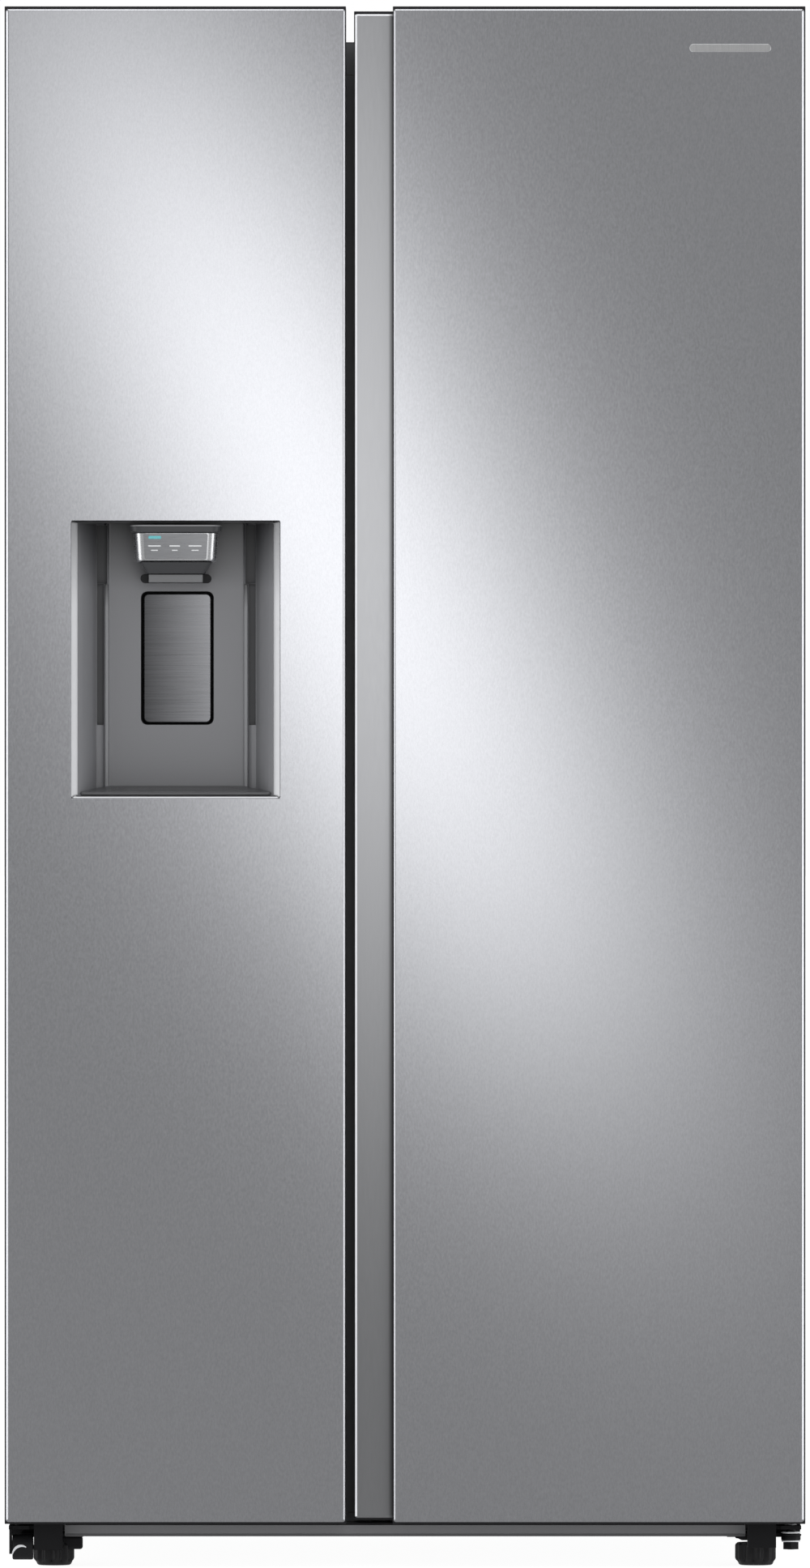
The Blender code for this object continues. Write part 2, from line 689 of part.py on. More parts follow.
def lower_bracket(hand, side):
    """The steel bracket at one front corner: hinge arm, pin, leg housing and, on the left, a roller's cheek."""
    leg_z = (0.0194 if hand < 0 else 0.0222, 0.0495)
    plate_z = (0.0330, 0.0375)
    arm_z = (0.0428, 0.0470)
    bracket = box((hand * 0.3922, -0.392, leg_z[0]), (hand * 0.4246, -0.356, leg_z[1]))
    join(bracket, box((hand * 0.369, -0.3575, plate_z[0]), (hand * 0.440, -0.225, plate_z[1])))
    join(bracket, box((hand * 0.398, -0.3198, plate_z[0]), (hand * 0.4535, -0.3168, 0.062)))
    join(bracket, box((hand * 0.430, -0.385, arm_z[0]), (hand * 0.4535, -0.3170, arm_z[1])))
    join(bracket, box((hand * 0.420, -0.380, arm_z[0]), (hand * 0.432, -0.360, arm_z[1])))
    pin_low = arm_z[0] + TINY
    if hand > 0:
        pin_low = 0.0192
        join(bracket, cylinder((hand * HINGE_X, HINGE_Y, 0.0358), 0.0120, 0.0022, "Z", 20))
        join(bracket, cylinder((hand * HINGE_X, HINGE_Y, 0.0235), 0.0100, 0.0080, "Z", 6))
    pin_high = 0.0660
    pin_centre = (hand * HINGE_X, HINGE_Y, (pin_low + pin_high) / 2)
    join(bracket, cylinder(pin_centre, PIN_RADIUS, pin_high - pin_low, "Z", 20))
    cut(bracket, cylinder((hand * FOOT_X, FOOT_Y, 0.035), 0.0066, 0.02, "Z", 20))
    if hand < 0:
        near, far = FRONT_ROLLER["x"]
        y, z = FRONT_ROLLER["y"], FRONT_ROLLER["z"]
        join(bracket, box((hand * 0.4498, y - 0.011, 0.0150), (hand * 0.4528, y + 0.011, arm_z[0] + 0.001)))
        join(bracket, cylinder((hand * (near + far) / 2, y, z), AXLE_RADIUS, far - near + 0.003, "X", 12))
        roller("roller_front_left", (hand * near, hand * far), y, z, FRONT_ROLLER["radius"])
    part(bracket, "lower_bracket_" + side, BLACK_METAL)


def roller(name, ends, y, z, radius):
    """A transport roller on its axle."""
    centre = (sum(ends) / 2, y, z)
    wheel = cylinder(centre, radius, abs(ends[1] - ends[0]), "X", 28)
    cut(wheel, cylinder(centre, AXLE_RADIUS + GAP, 0.06, "X", 12))
    return part(wheel, name, RUBBER, pivot(name + "_axis", centre))


def levelling_foot(hand, side):
    """A grooved knob that stands on the floor, with its screw up through the bracket."""
    name = "leveling_foot_" + side
    outline = [(0.0, 0.0355), (0.006, 0.0355), (0.006, FOOT_HEIGHT), (FOOT_RADIUS - 0.002, FOOT_HEIGHT)]
    outline += [(FOOT_RADIUS, FOOT_HEIGHT - 0.003), (FOOT_RADIUS, 0.005)]
    outline += [(FOOT_RADIUS - 0.005, 0.0), (0.0, 0.0)]
    foot = turned(outline, (hand * FOOT_X, FOOT_Y, 0), 32)
    for groove in range(8):
        angle = 2 * HALF_TURN * groove / 8
        x = hand * FOOT_X + math.cos(angle) * (FOOT_RADIUS + 0.001)
        y = FOOT_Y + math.sin(angle) * (FOOT_RADIUS + 0.001)
        cut(foot, cylinder((x, y, 0.013), 0.003, 0.05, "Z", 8))
    return part(foot, name, BLACK, pivot(name + "_axis", (hand * FOOT_X, FOOT_Y, 0)))


# Doors

def pin_bores(hand):
    """Cutters for the hinge pins in a door's top and bottom."""
    high = cylinder((hand * HINGE_X, HINGE_Y, DOOR_TOP), PIN_BORE, 0.060, "Z", 20)
    low = cylinder((hand * HINGE_X, HINGE_Y, DOOR_BOTTOM), PIN_BORE, 0.034, "Z", 20)
    return high, low


def door_plates(outline):
    """The top and bottom closing plates of a door's steel skin."""
    top = prism(outline, "Z", DOOR_TOP - DOOR_SHEET, DOOR_TOP)
    bottom = prism(outline, "Z", DOOR_BOTTOM, DOOR_BOTTOM + DOOR_SHEET)
    return top, bottom


def freezer_door_outline(inset):
    """The freezer door's plan, with the finger channel in its free side."""
    left = -SIDE + inset
    right = FREEZER_DOOR_RIGHT - inset
    channel = FREEZER_CHANNEL - inset
    front = FRONT + inset
    lip = FRONT + LIP - inset
    rear_wall = FRONT + CHANNEL_BACK + inset
    back = DOOR_BACK - GAP
    return [(left, back), (left, front), (right, front), (right, lip), (channel, lip),
            (channel, rear_wall), (right, rear_wall), (right, back)]


def freezer_door(axis):
    """The freezer door's skin, foam, inner panel and seal."""
    path = freezer_door_outline(0)
    skin = prism(sheet_outline(path, DOOR_SHEET), "Z", DOOR_BOTTOM, DOOR_TOP)
    join(skin, *door_plates(path))
    opening = box((RECESS_X[0], FRONT - PAST, RECESS_Z[0]), (RECESS_X[1], FRONT + PAST, RECESS_Z[1]))
    cut(skin, opening, *pin_bores(-1))
    part(skin, "freezer_door_skin", STEEL, axis)

    inset = DOOR_SHEET + GAP
    foam = prism(freezer_door_outline(inset), "Z", DOOR_BOTTOM + inset, DOOR_TOP - inset)
    pocket_high = (RECESS_X[1], FRONT + HOUSING_DEPTH + GAP, RECESS_Z[1])
    cut(foam, box((RECESS_X[0], FRONT - PAST, RECESS_Z[0]), pocket_high), *pin_bores(-1))
    part(foam, "freezer_door_foam", FOAM, axis)

    door_liner("freezer_door_liner", (-SIDE + 0.002, FREEZER_DOOR_RIGHT), FREEZER_DYKE_X, axis)
    (outer_left, inner_left), (inner_right, outer_right) = FREEZER_GASKET
    seal("freezer_gasket", outer_left, inner_left, inner_right, outer_right, axis)


def door_liner(name, span, dyke_x, axis):
    """A door's inner panel with the raised frame that carries the bins."""
    panel = box((span[0], DOOR_BACK, STRIP_BOTTOM), (span[1], LINER_FACE, STRIP_TOP - 0.002))
    low = (dyke_x[0], DYKE_Z[0])
    high = (dyke_x[1], DYKE_Z[1])
    inner_low = (dyke_x[0] + DYKE, DYKE_Z[0] + DYKE)
    inner_high = (dyke_x[1] - DYKE, DYKE_Z[1] - DYKE)
    join(panel, ring(low, high, inner_low, inner_high, DOOR_BACK + DOOR_LINER / 2, DYKE_BACK))
    return part(panel, name, WHITE, axis)


def seal(name, outer_left, inner_left, inner_right, outer_right, axis):
    """A magnetic seal round a door's inner face."""
    (outer_low, inner_low), (inner_high, outer_high) = GASKET_Z
    frame = ring((outer_left, outer_low), (outer_right, outer_high), (inner_left, inner_low),
                 (inner_right, inner_high), LINER_FACE + GAP, CASE_FRONT - GAP)
    return part(frame, name, GASKET, axis)


def dispenser(axis):
    """The dispenser's housing, control nose, nozzle and push lever."""
    front = FRONT
    low = (RECESS_X[0] + GAP, front, RECESS_Z[0] + GAP)
    high = (RECESS_X[1] - GAP, front + HOUSING_DEPTH, RECESS_Z[1] - GAP)
    housing = box(low, high)
    mouth_x = (RECESS_X[0] + RECESS_RIM, RECESS_X[1] - RECESS_RIM)
    mouth_z = (RECESS_Z[0] + 0.004, RECESS_Z[1] - 0.004)
    rear = front + RECESS_DEPTH
    hollow = box((mouth_x[0], front, mouth_z[0]), (mouth_x[1], rear, mouth_z[1]))
    for corner in hollow.data.vertices:
        if corner.co.y > 0:
            corner.co.x -= math.copysign(RECESS_TAPER, corner.co.x)
            if corner.co.z < 0:
                corner.co.z += RECESS_RISE
    cut(housing, hollow)
    cut(housing, box((mouth_x[0], front - PAST, mouth_z[0]), (mouth_x[1], front + TINY * 5, mouth_z[1])))
    pocket_low = (LEVER_X[0] - LEVER_GAP, rear - 0.004, LEVER_Z[0] - LEVER_GAP)
    pocket_high = (LEVER_X[1] + LEVER_GAP, rear + LEVER_POCKET, LEVER_Z[1] + LEVER_GAP)
    cut(housing, box(pocket_low, pocket_high))
    lever_x = sum(LEVER_X) / 2
    lever_half = (LEVER_X[1] - LEVER_X[0]) / 2
    lever_y = rear + LEVER_THICK / 2
    pin_half = lever_half + LEVER_GAP + 0.003
    cut(housing, cylinder((lever_x, lever_y, LEVER_AXIS_Z), 0.0026, 2 * pin_half + 0.001, "X", 12))
    part(housing, "dispenser_housing", GREY_PLASTIC, axis)

    nose_top = mouth_z[1] - GAP
    nose = box((NOSE_X[0], front + 0.0005, NOSE_BOTTOM), (NOSE_X[1], front + NOSE_DEPTH, nose_top), 0.003, 2)
    part(nose, "dispenser_panel", NOSE_SILVER, axis)

    chute_high = NOSE_BOTTOM - GAP
    chute = box((-0.2960, front + 0.010, CHUTE_BOTTOM), (-0.2260, rear - GAP, chute_high))
    for corner in chute.data.vertices:
        if corner.co.z > 0:
            corner.co.x += math.copysign(0.006, corner.co.x)
        elif corner.co.y < 0:
            corner.co.y += 0.012
    part(chute, "dispenser_chute", GREY_PLASTIC, axis)

    drip_tray(mouth_x, mouth_z[0], axis)

    lever_axis = pivot("dispenser_lever_axis", (lever_x, lever_y, LEVER_AXIS_Z), axis)
    lever = box((LEVER_X[0], rear, LEVER_Z[0]), (LEVER_X[1], rear + LEVER_THICK, LEVER_Z[1]))
    join(lever, cylinder((lever_x, lever_y, LEVER_AXIS_Z), 0.0018, 2 * pin_half, "X", 12))
    part(lever, "dispenser_lever", DARK_STEEL, lever_axis)


def drip_tray(mouth_x, sill, axis):
    """The slotted tray that lies on the recess's sloping floor."""
    near = 0.006
    far = RECESS_DEPTH - 0.003
    thick = 0.003
    slot_half = 0.0025
    low = (mouth_x[0] + GAP, FRONT + near, sill + GAP)
    tray_plate = box(low, (mouth_x[1] - GAP, FRONT + far, sill + GAP + thick))
    for corner in tray_plate.data.vertices:
        depth = far if corner.co.y > 0 else near
        corner.co.x -= math.copysign(RECESS_TAPER * depth / RECESS_DEPTH, corner.co.x)
        corner.co.z += RECESS_RISE * depth / RECESS_DEPTH
    centre = sum(mouth_x) / 2
    for row in range(5):
        depth = 0.018 + row * 0.010
        half = 0.058
        y = FRONT + depth
        slot_low = (centre - half, y - slot_half, sill - PAST)
        slot_high = (centre + half, y + slot_half, sill + PAST)
        cut(tray_plate, box(slot_low, slot_high))
    part(tray_plate, "drip_tray", GREY_PLASTIC, axis)


def ice_maker(axis):
    """The ice maker on the freezer door's inner side and the bucket that it drops ice into."""
    left = FREEZER_DYKE_X[0] + DYKE + GAP
    right = FREEZER_DYKE_X[1] - DYKE - GAP
    near = LINER_FACE + GAP
    maker = box((left, near, 1.520), (right, BIN_BACK - 0.005, 1.640), 0.006, 2)
    part(maker, "ice_maker", WHITE, axis)
    part(tray((left, near, 1.225), (right, BIN_BACK, 1.490), BIN_WALL), "ice_bucket", CLEAR, axis)


def bins(bin_set, dyke_x, axis):
    """Open door bins between the sides of the inner panel's frame."""
    left = dyke_x[0] + DYKE + GAP
    right = dyke_x[1] - DYKE - GAP
    for name, floor in bin_set.items():
        body = tray((left, LINER_FACE + GAP, floor), (right, BIN_BACK, floor + BIN_HEIGHT), BIN_WALL)
        part(body, name, CLEAR, axis)


def fridge_door(axis):
    """The fridge door's skin, grip strip, foam, inner panel and seal."""
    right = SIDE
    front = FRONT
    lip = FRONT + LIP
    rear_wall = FRONT + CHANNEL_BACK
    back = DOOR_BACK - GAP
    left = FRIDGE_PANEL_LEFT
    channel = FRIDGE_CHANNEL + STRIP_SHEET
    path = [(channel, lip), (left, lip), (left, front), (right, front), (right, back)]
    skin = prism(sheet_outline(path, DOOR_SHEET), "Z", DOOR_BOTTOM, DOOR_TOP)
    plate = [(left, lip), (left, front), (right, front), (right, back)]
    plate += [(channel + GAP, back), (channel + GAP, lip)]
    join(skin, *door_plates(plate))
    cut(skin, *pin_bores(1))
    part(skin, "fridge_door_skin", STEEL, axis)

    strip_inside = STRIP_LEFT + STRIP_SHEET
    strip_path = [(strip_inside, back), (strip_inside, rear_wall), (FRIDGE_CHANNEL, rear_wall),
                  (FRIDGE_CHANNEL, lip + GAP)]
    strip = prism(sheet_outline(strip_path, -STRIP_SHEET), "Z", STRIP_BOTTOM, STRIP_TOP)
    cap_low = (STRIP_LEFT, rear_wall)
    for low, high in ((STRIP_BOTTOM, STRIP_BOTTOM + STRIP_SHEET), (STRIP_TOP - STRIP_SHEET, STRIP_TOP)):
        join(strip, box((*cap_low, low), (channel, back, high)))
    part(strip, "grip_strip", STRIP, axis)

    inset = DOOR_SHEET + GAP
    hollow = FRIDGE_CHANNEL + STRIP_SHEET + GAP
    main = [(left + inset, lip - inset), (left + inset, front + inset), (right - inset, front + inset),
            (right - inset, back), (hollow, back), (hollow, lip - inset)]
    foam = prism(main, "Z", DOOR_BOTTOM + inset, DOOR_TOP - inset)
    strip_inset = STRIP_SHEET + GAP
    low = (STRIP_LEFT + strip_inset, rear_wall + strip_inset, STRIP_BOTTOM + strip_inset)
    join(foam, box(low, (hollow + PAST, back, STRIP_TOP - strip_inset)))
    cut(foam, *pin_bores(1))
    part(foam, "fridge_door_foam", FOAM, axis)

    door_liner("fridge_door_liner", (STRIP_LEFT, SIDE - 0.002), FRIDGE_DYKE_X, axis)
    (outer_left, inner_left), (inner_right, outer_right) = FRIDGE_GASKET
    seal("fridge_gasket", outer_left, inner_left, inner_right, outer_right, axis)


def build():
    """Makes every piece."""
    outer_case()
    insulation()
    supports = [UPPER_DRAWER_Z]
    flange_side = CASE_SIDE - FLANGE - GAP
    freezer_ribs = supports + list(FREEZER_SHELVES.values())
    fridge_ribs = supports + list(FRIDGE_SHELVES.values())
    liner("freezer_liner", FREEZER_X, (-flange_side, MULLION_X[0] - GAP), freezer_ribs)
    liner("fridge_liner", FRIDGE_X, (MULLION_X[1] + GAP, flange_side), fridge_ribs)
    cabinet_fronts()
    base_rail()
    base_plate()
    rear_panels()
    compressor()
    condenser()
    drain_pan()
    condenser_fan_and_bracket()
    evaporator_group()
    duct_cover()
    shelves()
    drawers()
    for hand, side in ((-1, "left"), (1, "right")):
        top_hinge(hand, side)
        lower_bracket(hand, side)
        levelling_foot(hand, side)
        rear_x = hand * REAR_ROLLER_X
        roller("roller_rear_" + side, (rear_x - 0.013, rear_x + 0.013), REAR_ROLLER_Y, REAR_ROLLER_RADIUS,
               REAR_ROLLER_RADIUS)
    freezer_axis = pivot("freezer_door_axis", (-HINGE_X, HINGE_Y, 0))
    fridge_axis = pivot("fridge_door_axis", (HINGE_X, HINGE_Y, 0))
    freezer_door(freezer_axis)
    dispenser(freezer_axis)
    ice_maker(freezer_axis)
    bins(FREEZER_BINS, FREEZER_DYKE_X, freezer_axis)
    fridge_door(fridge_axis)
    bins(FRIDGE_BINS, FRIDGE_DYKE_X, fridge_axis)


build()
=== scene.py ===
import json
import math

import bmesh
import bpy
from mathutils import Matrix, Vector

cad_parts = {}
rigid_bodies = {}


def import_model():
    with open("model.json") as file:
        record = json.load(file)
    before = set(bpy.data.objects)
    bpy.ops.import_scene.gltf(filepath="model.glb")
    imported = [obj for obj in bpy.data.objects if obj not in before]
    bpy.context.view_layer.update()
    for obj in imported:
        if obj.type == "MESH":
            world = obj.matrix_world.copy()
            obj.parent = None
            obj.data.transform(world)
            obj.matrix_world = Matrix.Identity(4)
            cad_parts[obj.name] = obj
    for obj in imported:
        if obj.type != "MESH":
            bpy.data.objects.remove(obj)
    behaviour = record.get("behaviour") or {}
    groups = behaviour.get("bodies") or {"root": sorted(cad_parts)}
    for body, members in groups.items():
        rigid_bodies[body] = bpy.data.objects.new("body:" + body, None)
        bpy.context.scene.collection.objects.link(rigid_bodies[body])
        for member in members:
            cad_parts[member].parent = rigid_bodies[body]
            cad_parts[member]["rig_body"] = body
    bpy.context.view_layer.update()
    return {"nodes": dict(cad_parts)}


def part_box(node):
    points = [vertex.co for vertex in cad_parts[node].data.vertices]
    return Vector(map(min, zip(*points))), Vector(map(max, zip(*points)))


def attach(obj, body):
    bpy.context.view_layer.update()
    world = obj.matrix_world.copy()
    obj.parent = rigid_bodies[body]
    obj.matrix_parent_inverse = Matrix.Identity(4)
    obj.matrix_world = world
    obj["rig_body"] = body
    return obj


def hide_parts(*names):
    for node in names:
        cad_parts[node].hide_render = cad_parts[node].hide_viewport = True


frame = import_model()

FULL_TURN = 2 * math.pi


# Procedural looks

NOISE_LOW = 0.25            # the noise lies between these two nearly everywhere
NOISE_HIGH = 0.75
NOISE_DETAIL = 3.0
COAT_ROUGHNESS = 0.15
LEAST_ROUGHNESS = 0.02


def ranged(tree, value, start, end, first, last):
    """A value that goes from first to last while another one goes from start to end."""
    change = tree.nodes.new("ShaderNodeMapRange")
    names = ("From Min", "From Max", "To Min", "To Max")
    for name, number in zip(names, (start, end, first, last)):
        change.inputs[name].default_value = number
    tree.links.new(value, change.inputs["Value"])
    return change.outputs["Result"]


def faded(tree, place, tone, fades):
    """A colour scaled by the factors that each fade gives along its axis."""
    parts = tree.nodes.new("ShaderNodeSeparateXYZ")
    tree.links.new(place, parts.inputs["Vector"])
    for axis, *span in fades:
        shaded = tree.nodes.new("ShaderNodeVectorMath")
        shaded.operation = "SCALE"
        tree.links.new(tone, shaded.inputs[0])
        tree.links.new(ranged(tree, parts.outputs[axis], *span), shaded.inputs["Scale"])
        tone = shaded.outputs["Vector"]
    return tone


def look(name, colour, roughness, metallic=0.0, stretch=(500, 500, 500), tint=0.04, polish=0.05,
         relief=0.0, alpha=1.0, coat=0.0, glow=0.0, fades=(), shine=0.5):
    """A Principled material whose colour, roughness and relief follow noise in the piece's space.

    The tint and the polish are how far the noise moves the colour and the roughness. Each fade is
    an axis, two places on it, and the colour's factors at those places; the fades paint light and
    shade into the colour.
    """
    made = bpy.data.materials.new(name)
    made.use_nodes = True
    made.diffuse_color = (*colour, 1.0)
    tree = made.node_tree
    shader = tree.nodes["Principled BSDF"]
    shader.inputs["Metallic"].default_value = metallic
    shader.inputs["Alpha"].default_value = alpha
    shader.inputs["Specular IOR Level"].default_value = shine
    shader.inputs["Coat Weight"].default_value = coat
    shader.inputs["Coat Roughness"].default_value = COAT_ROUGHNESS
    shader.inputs["Emission Color"].default_value = (*colour, 1.0)
    shader.inputs["Emission Strength"].default_value = glow
    place = tree.nodes.new("ShaderNodeTexCoord").outputs["Object"]
    scaled = tree.nodes.new("ShaderNodeMapping")
    scaled.inputs["Scale"].default_value = stretch
    noise = tree.nodes.new("ShaderNodeTexNoise")
    noise.inputs["Scale"].default_value = 1.0
    noise.inputs["Detail"].default_value = NOISE_DETAIL
    tree.links.new(place, scaled.inputs["Vector"])
    tree.links.new(scaled.outputs["Vector"], noise.inputs["Vector"])

    shades = tree.nodes.new("ShaderNodeValToRGB")
    darker, lighter = shades.color_ramp.elements
    darker.position = NOISE_LOW
    lighter.position = NOISE_HIGH
    darker.color = (*[channel * (1 - tint) for channel in colour], 1.0)
    lighter.color = (*[min(1.0, channel * (1 + tint)) for channel in colour], 1.0)
    tree.links.new(noise.outputs["Fac"], shades.inputs["Fac"])
    tone = shades.outputs["Color"]
    if fades:
        tone = faded(tree, place, tone, fades)
    tree.links.new(tone, shader.inputs["Base Color"])

    smoothest = max(LEAST_ROUGHNESS, roughness - polish)
    roughest = min(1.0, roughness + polish)
    spread = ranged(tree, noise.outputs["Fac"], NOISE_LOW, NOISE_HIGH, smoothest, roughest)
    tree.links.new(spread, shader.inputs["Roughness"])

    if relief > 0:
        bump = tree.nodes.new("ShaderNodeBump")
        bump.inputs["Strength"].default_value = 1.0
        bump.inputs["Distance"].default_value = relief
        tree.links.new(noise.outputs["Fac"], bump.inputs["Height"])
        tree.links.new(bump.outputs["Normal"], shader.inputs["Normal"])
    return made


# Each look: name, colour, roughness, metallic, noise per metre, tint, polish, relief in metres

# doors and cabinet
STEEL = look("brushed_steel", (0.575, 0.582, 0.610), 0.23, 1.0, (640, 60, 260), 0.075, 0.015)
# painted highlight makes the strip's face lighter towards its top, and painted shade darkens its
# right end beside the fridge door's lip
STRIP = look("satin_strip", (0.470, 0.475, 0.490), 0.39, 1.0, (420, 420, 60), 0.03, 0.02,
             fades=(("Z", 0.217, 1.616, 0.92, 1.26), ("X", -0.0190, -0.0140, 1.0, 0.20)))
# painted highlight: a pale line that glows a little, though it is no lamp, along the strip's left
# edge
STRIP_EDGE_HIGHLIGHT = look("strip_edge_highlight", (0.62, 0.63, 0.65), 0.40, 0.0, (500, 500, 500), 0.03, 0.04,
                  glow=0.5)
DOOR_EDGE = look("door_edge_dark", (0.018, 0.018, 0.020), 0.52, 0.0, (900, 900, 900), 0.05, 0.06,
                 0.00002, shine=0.14)
BADGE = look("badge_satin", (0.86, 0.865, 0.875), 0.34, 1.0, (900, 60, 60), 0.06, 0.05)
CASE = look("case_paint", (0.16, 0.162, 0.168), 0.46, 0.0, (420, 420, 420), 0.05, 0.05, 0.00006)
COVER = look("cover_plastic", (0.115, 0.116, 0.12), 0.50, 0.0, (1300, 1300, 1300), 0.06, 0.06,
             0.00003)
ZINC = look("zinc_sheet", (0.62, 0.63, 0.64), 0.36, 1.0, (45, 45, 45), 0.14, 0.10)
FOAM = look("poured_foam", (0.74, 0.66, 0.42), 0.92, 0.0, (260, 260, 260), 0.12, 0.05, 0.0004)
GASKET = look("seal_rubber", (0.060, 0.061, 0.064), 0.62, 0.0, (900, 900, 900), 0.08, 0.08,
              0.00003)

# dispenser: painted shade makes its recess darker towards the top, where the top overhangs it
SHADE = (("Z", 1.118, 1.196, 1.0, 0.24),)
# the rim's silver, darkened towards the recess's top by painted shade
RIM = look("dispenser_rim", (0.50, 0.505, 0.52), 0.34, 1.0, (500, 500, 500), 0.03, 0.04,
           fades=(("Z", 1.100, 1.196, 1.0, 0.42),))
# a pale grey: the hinge washers' own tone, and painted highlight as the lines along the recess's
# lower edge and round the left roller
PALE_TRIM_AND_HIGHLIGHT = look("pale_trim_and_highlight", (0.62, 0.63, 0.65), 0.40, 0.0, (500, 500, 500), 0.03, 0.04)
# the recess's grey, with the painted shade towards its top
RECESS = look("dispenser_satin", (0.172, 0.174, 0.184), 0.36, 0.0, (800, 800, 800), 0.03, 0.04,
              0.00001, fades=SHADE)
# the ridges are a lighter copy of the recess's grey as a painted highlight, and painted shade
# darkens their tops
RIDGE_LIT_AND_SHADED = look("dispenser_ridge", (0.215, 0.218, 0.228), 0.36, 0.0, (800, 800, 800), 0.03, 0.04,
             fades=(("Z", 1.098, 1.126, 1.0, 0.28),))
TRAY = look("dispenser_tray", (0.080, 0.081, 0.086), 0.36, 0.0, (800, 800, 800), 0.03, 0.04)
# painted shade: the grooves' floors and the pocket above them are a darker copy of the recess's
# grey
GROOVE_SHADE = look("dispenser_groove_shade", (0.062, 0.063, 0.067), 0.55, 0.0, (800, 800, 800), 0.03, 0.04,
              fades=SHADE)
NOSE_TOP = look("dispenser_lip_top", (0.20, 0.202, 0.21), 0.36, 0.0, (800, 800, 800), 0.03, 0.04)
NOSE_ENDS = look("nose_ends", (0.84, 0.85, 0.87), 0.27, 1.0, (60, 60, 900), 0.04, 0.03)
NOSE = look("nose_silver", (0.355, 0.36, 0.375), 0.30, 1.0, (60, 60, 900), 0.07, 0.04)
NECK = look("dispenser_neck", (0.038, 0.039, 0.042), 0.36, 0.0, (800, 800, 800), 0.04, 0.04,
            shine=0.3)
CHUTE = look("chute_grey", (0.108, 0.110, 0.115), 0.34, 0.0, (800, 800, 800), 0.03, 0.04)
# painted shade: the lever is darker towards its left end and lighter towards its right
LEVER = look("lever_brushed", (0.300, 0.303, 0.318), 0.30, 1.0, (14, 60, 1100), 0.20, 0.08,
             fades=(("X", -0.2997, -0.2220, 0.30, 1.0),))
PRINT = look("pale_print", (0.56, 0.57, 0.58), 0.45, 0.0, (900, 900, 900), 0.03, 0.05)
LAMP = look("teal_lamp", (0.09, 0.36, 0.39), 0.30, 0.0, (500, 500, 500), 0.03, 0.05, glow=0.08)

# running gear and machinery
BLACK = look("black_plastic", (0.012, 0.012, 0.013), 0.40, 0.0, (1000, 1000, 1000), 0.10, 0.08,
             0.00003, shine=0.30)
# painted shadow: a black for thin dark pieces put where there is shade, in gaps, openings and under
# edges
SHADOW_BLACK = look("painted_shadow_black", (0.006, 0.006, 0.007), 0.85, 0.0, (900, 900, 900), 0.10, 0.05)
BLACK_METAL = look("black_powder_coat", (0.009, 0.009, 0.010), 0.42, 0.0, (1400, 1400, 1400),
                   0.10, 0.08, 0.00004, shine=0.16)
RAIL = look("rail_grey", (0.172, 0.174, 0.180), 0.44, 0.0, (700, 700, 700), 0.04, 0.05, 0.00002)
# painted shade: a darker copy of the rail's grey for its lower edge
RAIL_LIP_SHADE = look("rail_lip", (0.095, 0.096, 0.100), 0.44, 0.0, (700, 700, 700), 0.04, 0.05,
                0.00002)
TYRE = look("roller_black", (0.011, 0.011, 0.012), 0.42, 0.0, (700, 700, 700), 0.12, 0.08,
            0.00005, shine=0.18)
FINS = look("aluminium", (0.74, 0.75, 0.76), 0.34, 1.0, (200, 200, 200), 0.06, 0.06)

# inside
WHITE = look("moulded_white", (0.80, 0.815, 0.83), 0.30, 0.0, (700, 700, 700), 0.015, 0.05,
             0.00001, coat=0.2)
CHROME = look("polished_trim", (0.86, 0.87, 0.89), 0.14, 1.0, (300, 300, 300), 0.02, 0.03)
CLEAR = look("clear_plastic", (0.74, 0.80, 0.84), 0.09, 0.0, (60, 60, 60), 0.03, 0.03, alpha=0.34)
GLASS = look("shelf_glass", (0.55, 0.70, 0.66), 0.05, 0.0, (30, 30, 30), 0.03, 0.02, alpha=0.30)
LIGHT = look("lamp_panel", (0.95, 0.97, 1.0), 0.50, 0.0, (300, 300, 300), 0.01, 0.03, glow=1.1)


# Meshes

MERGE = 0.00002             # vertices this close are one
FLAT_ANGLE = 0.5            # degrees between two triangles of one plain face
CREASE_ANGLE = 35           # degrees above which an edge stays sharp in the shading


def finished(name, work, finish, body, slot, *nodes, crease=CREASE_ANGLE):
    """Turns a bmesh into a smoothly shaded piece that rides on a body and stands for CAD nodes."""
    bmesh.ops.recalc_face_normals(work, faces=work.faces)
    mesh = bpy.data.meshes.new(name)
    work.to_mesh(mesh)
    work.free()
    if "custom_normal" in mesh.attributes:
        mesh.attributes.remove(mesh.attributes["custom_normal"])
    mesh.materials.clear()
    mesh.materials.append(finish)
    mesh.shade_smooth()
    mesh.set_sharp_from_angle(angle=math.radians(crease))
    made = bpy.data.objects.new(name, mesh)
    bpy.context.scene.collection.objects.link(made)
    even = made.modifiers.new("even_normals", "WEIGHTED_NORMAL")
    even.keep_sharp = True
    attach(made, body)
    if nodes:
        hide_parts(*nodes)
    return made


def rounded(work, width, segments=2, angle=30):
    """Rounds every edge between two faces that meet at more than an angle in degrees."""
    limit = math.radians(angle)
    sharp = [edge for edge in work.edges
             if len(edge.link_faces) == 2 and edge.calc_face_angle(0) > limit]
    bmesh.ops.bevel(work, geom=sharp, offset=width, offset_type="OFFSET", segments=segments,
                    profile=0.5, affect="EDGES", clamp_overlap=True)
    return work


def softened(node, width, finish, slot):
    """A CAD node's own shape with its triangles merged into plain faces and its edges rounded."""
    source = frame["nodes"][node]
    work = bmesh.new()
    work.from_mesh(source.data)
    bmesh.ops.remove_doubles(work, verts=work.verts, dist=MERGE)
    bmesh.ops.dissolve_limit(work, angle_limit=math.radians(FLAT_ANGLE), verts=work.verts,
                             edges=work.edges)
    if width > 0:
        rounded(work, width)
    return finished(node + "_shape", work, finish, source["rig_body"], slot, node)


def held(piece, low, high):
    """Presses a piece's vertices into a box."""
    for vertex in piece.data.vertices:
        vertex.co = [min(max(value, least), most)
                     for value, least, most in zip(vertex.co, low, high)]


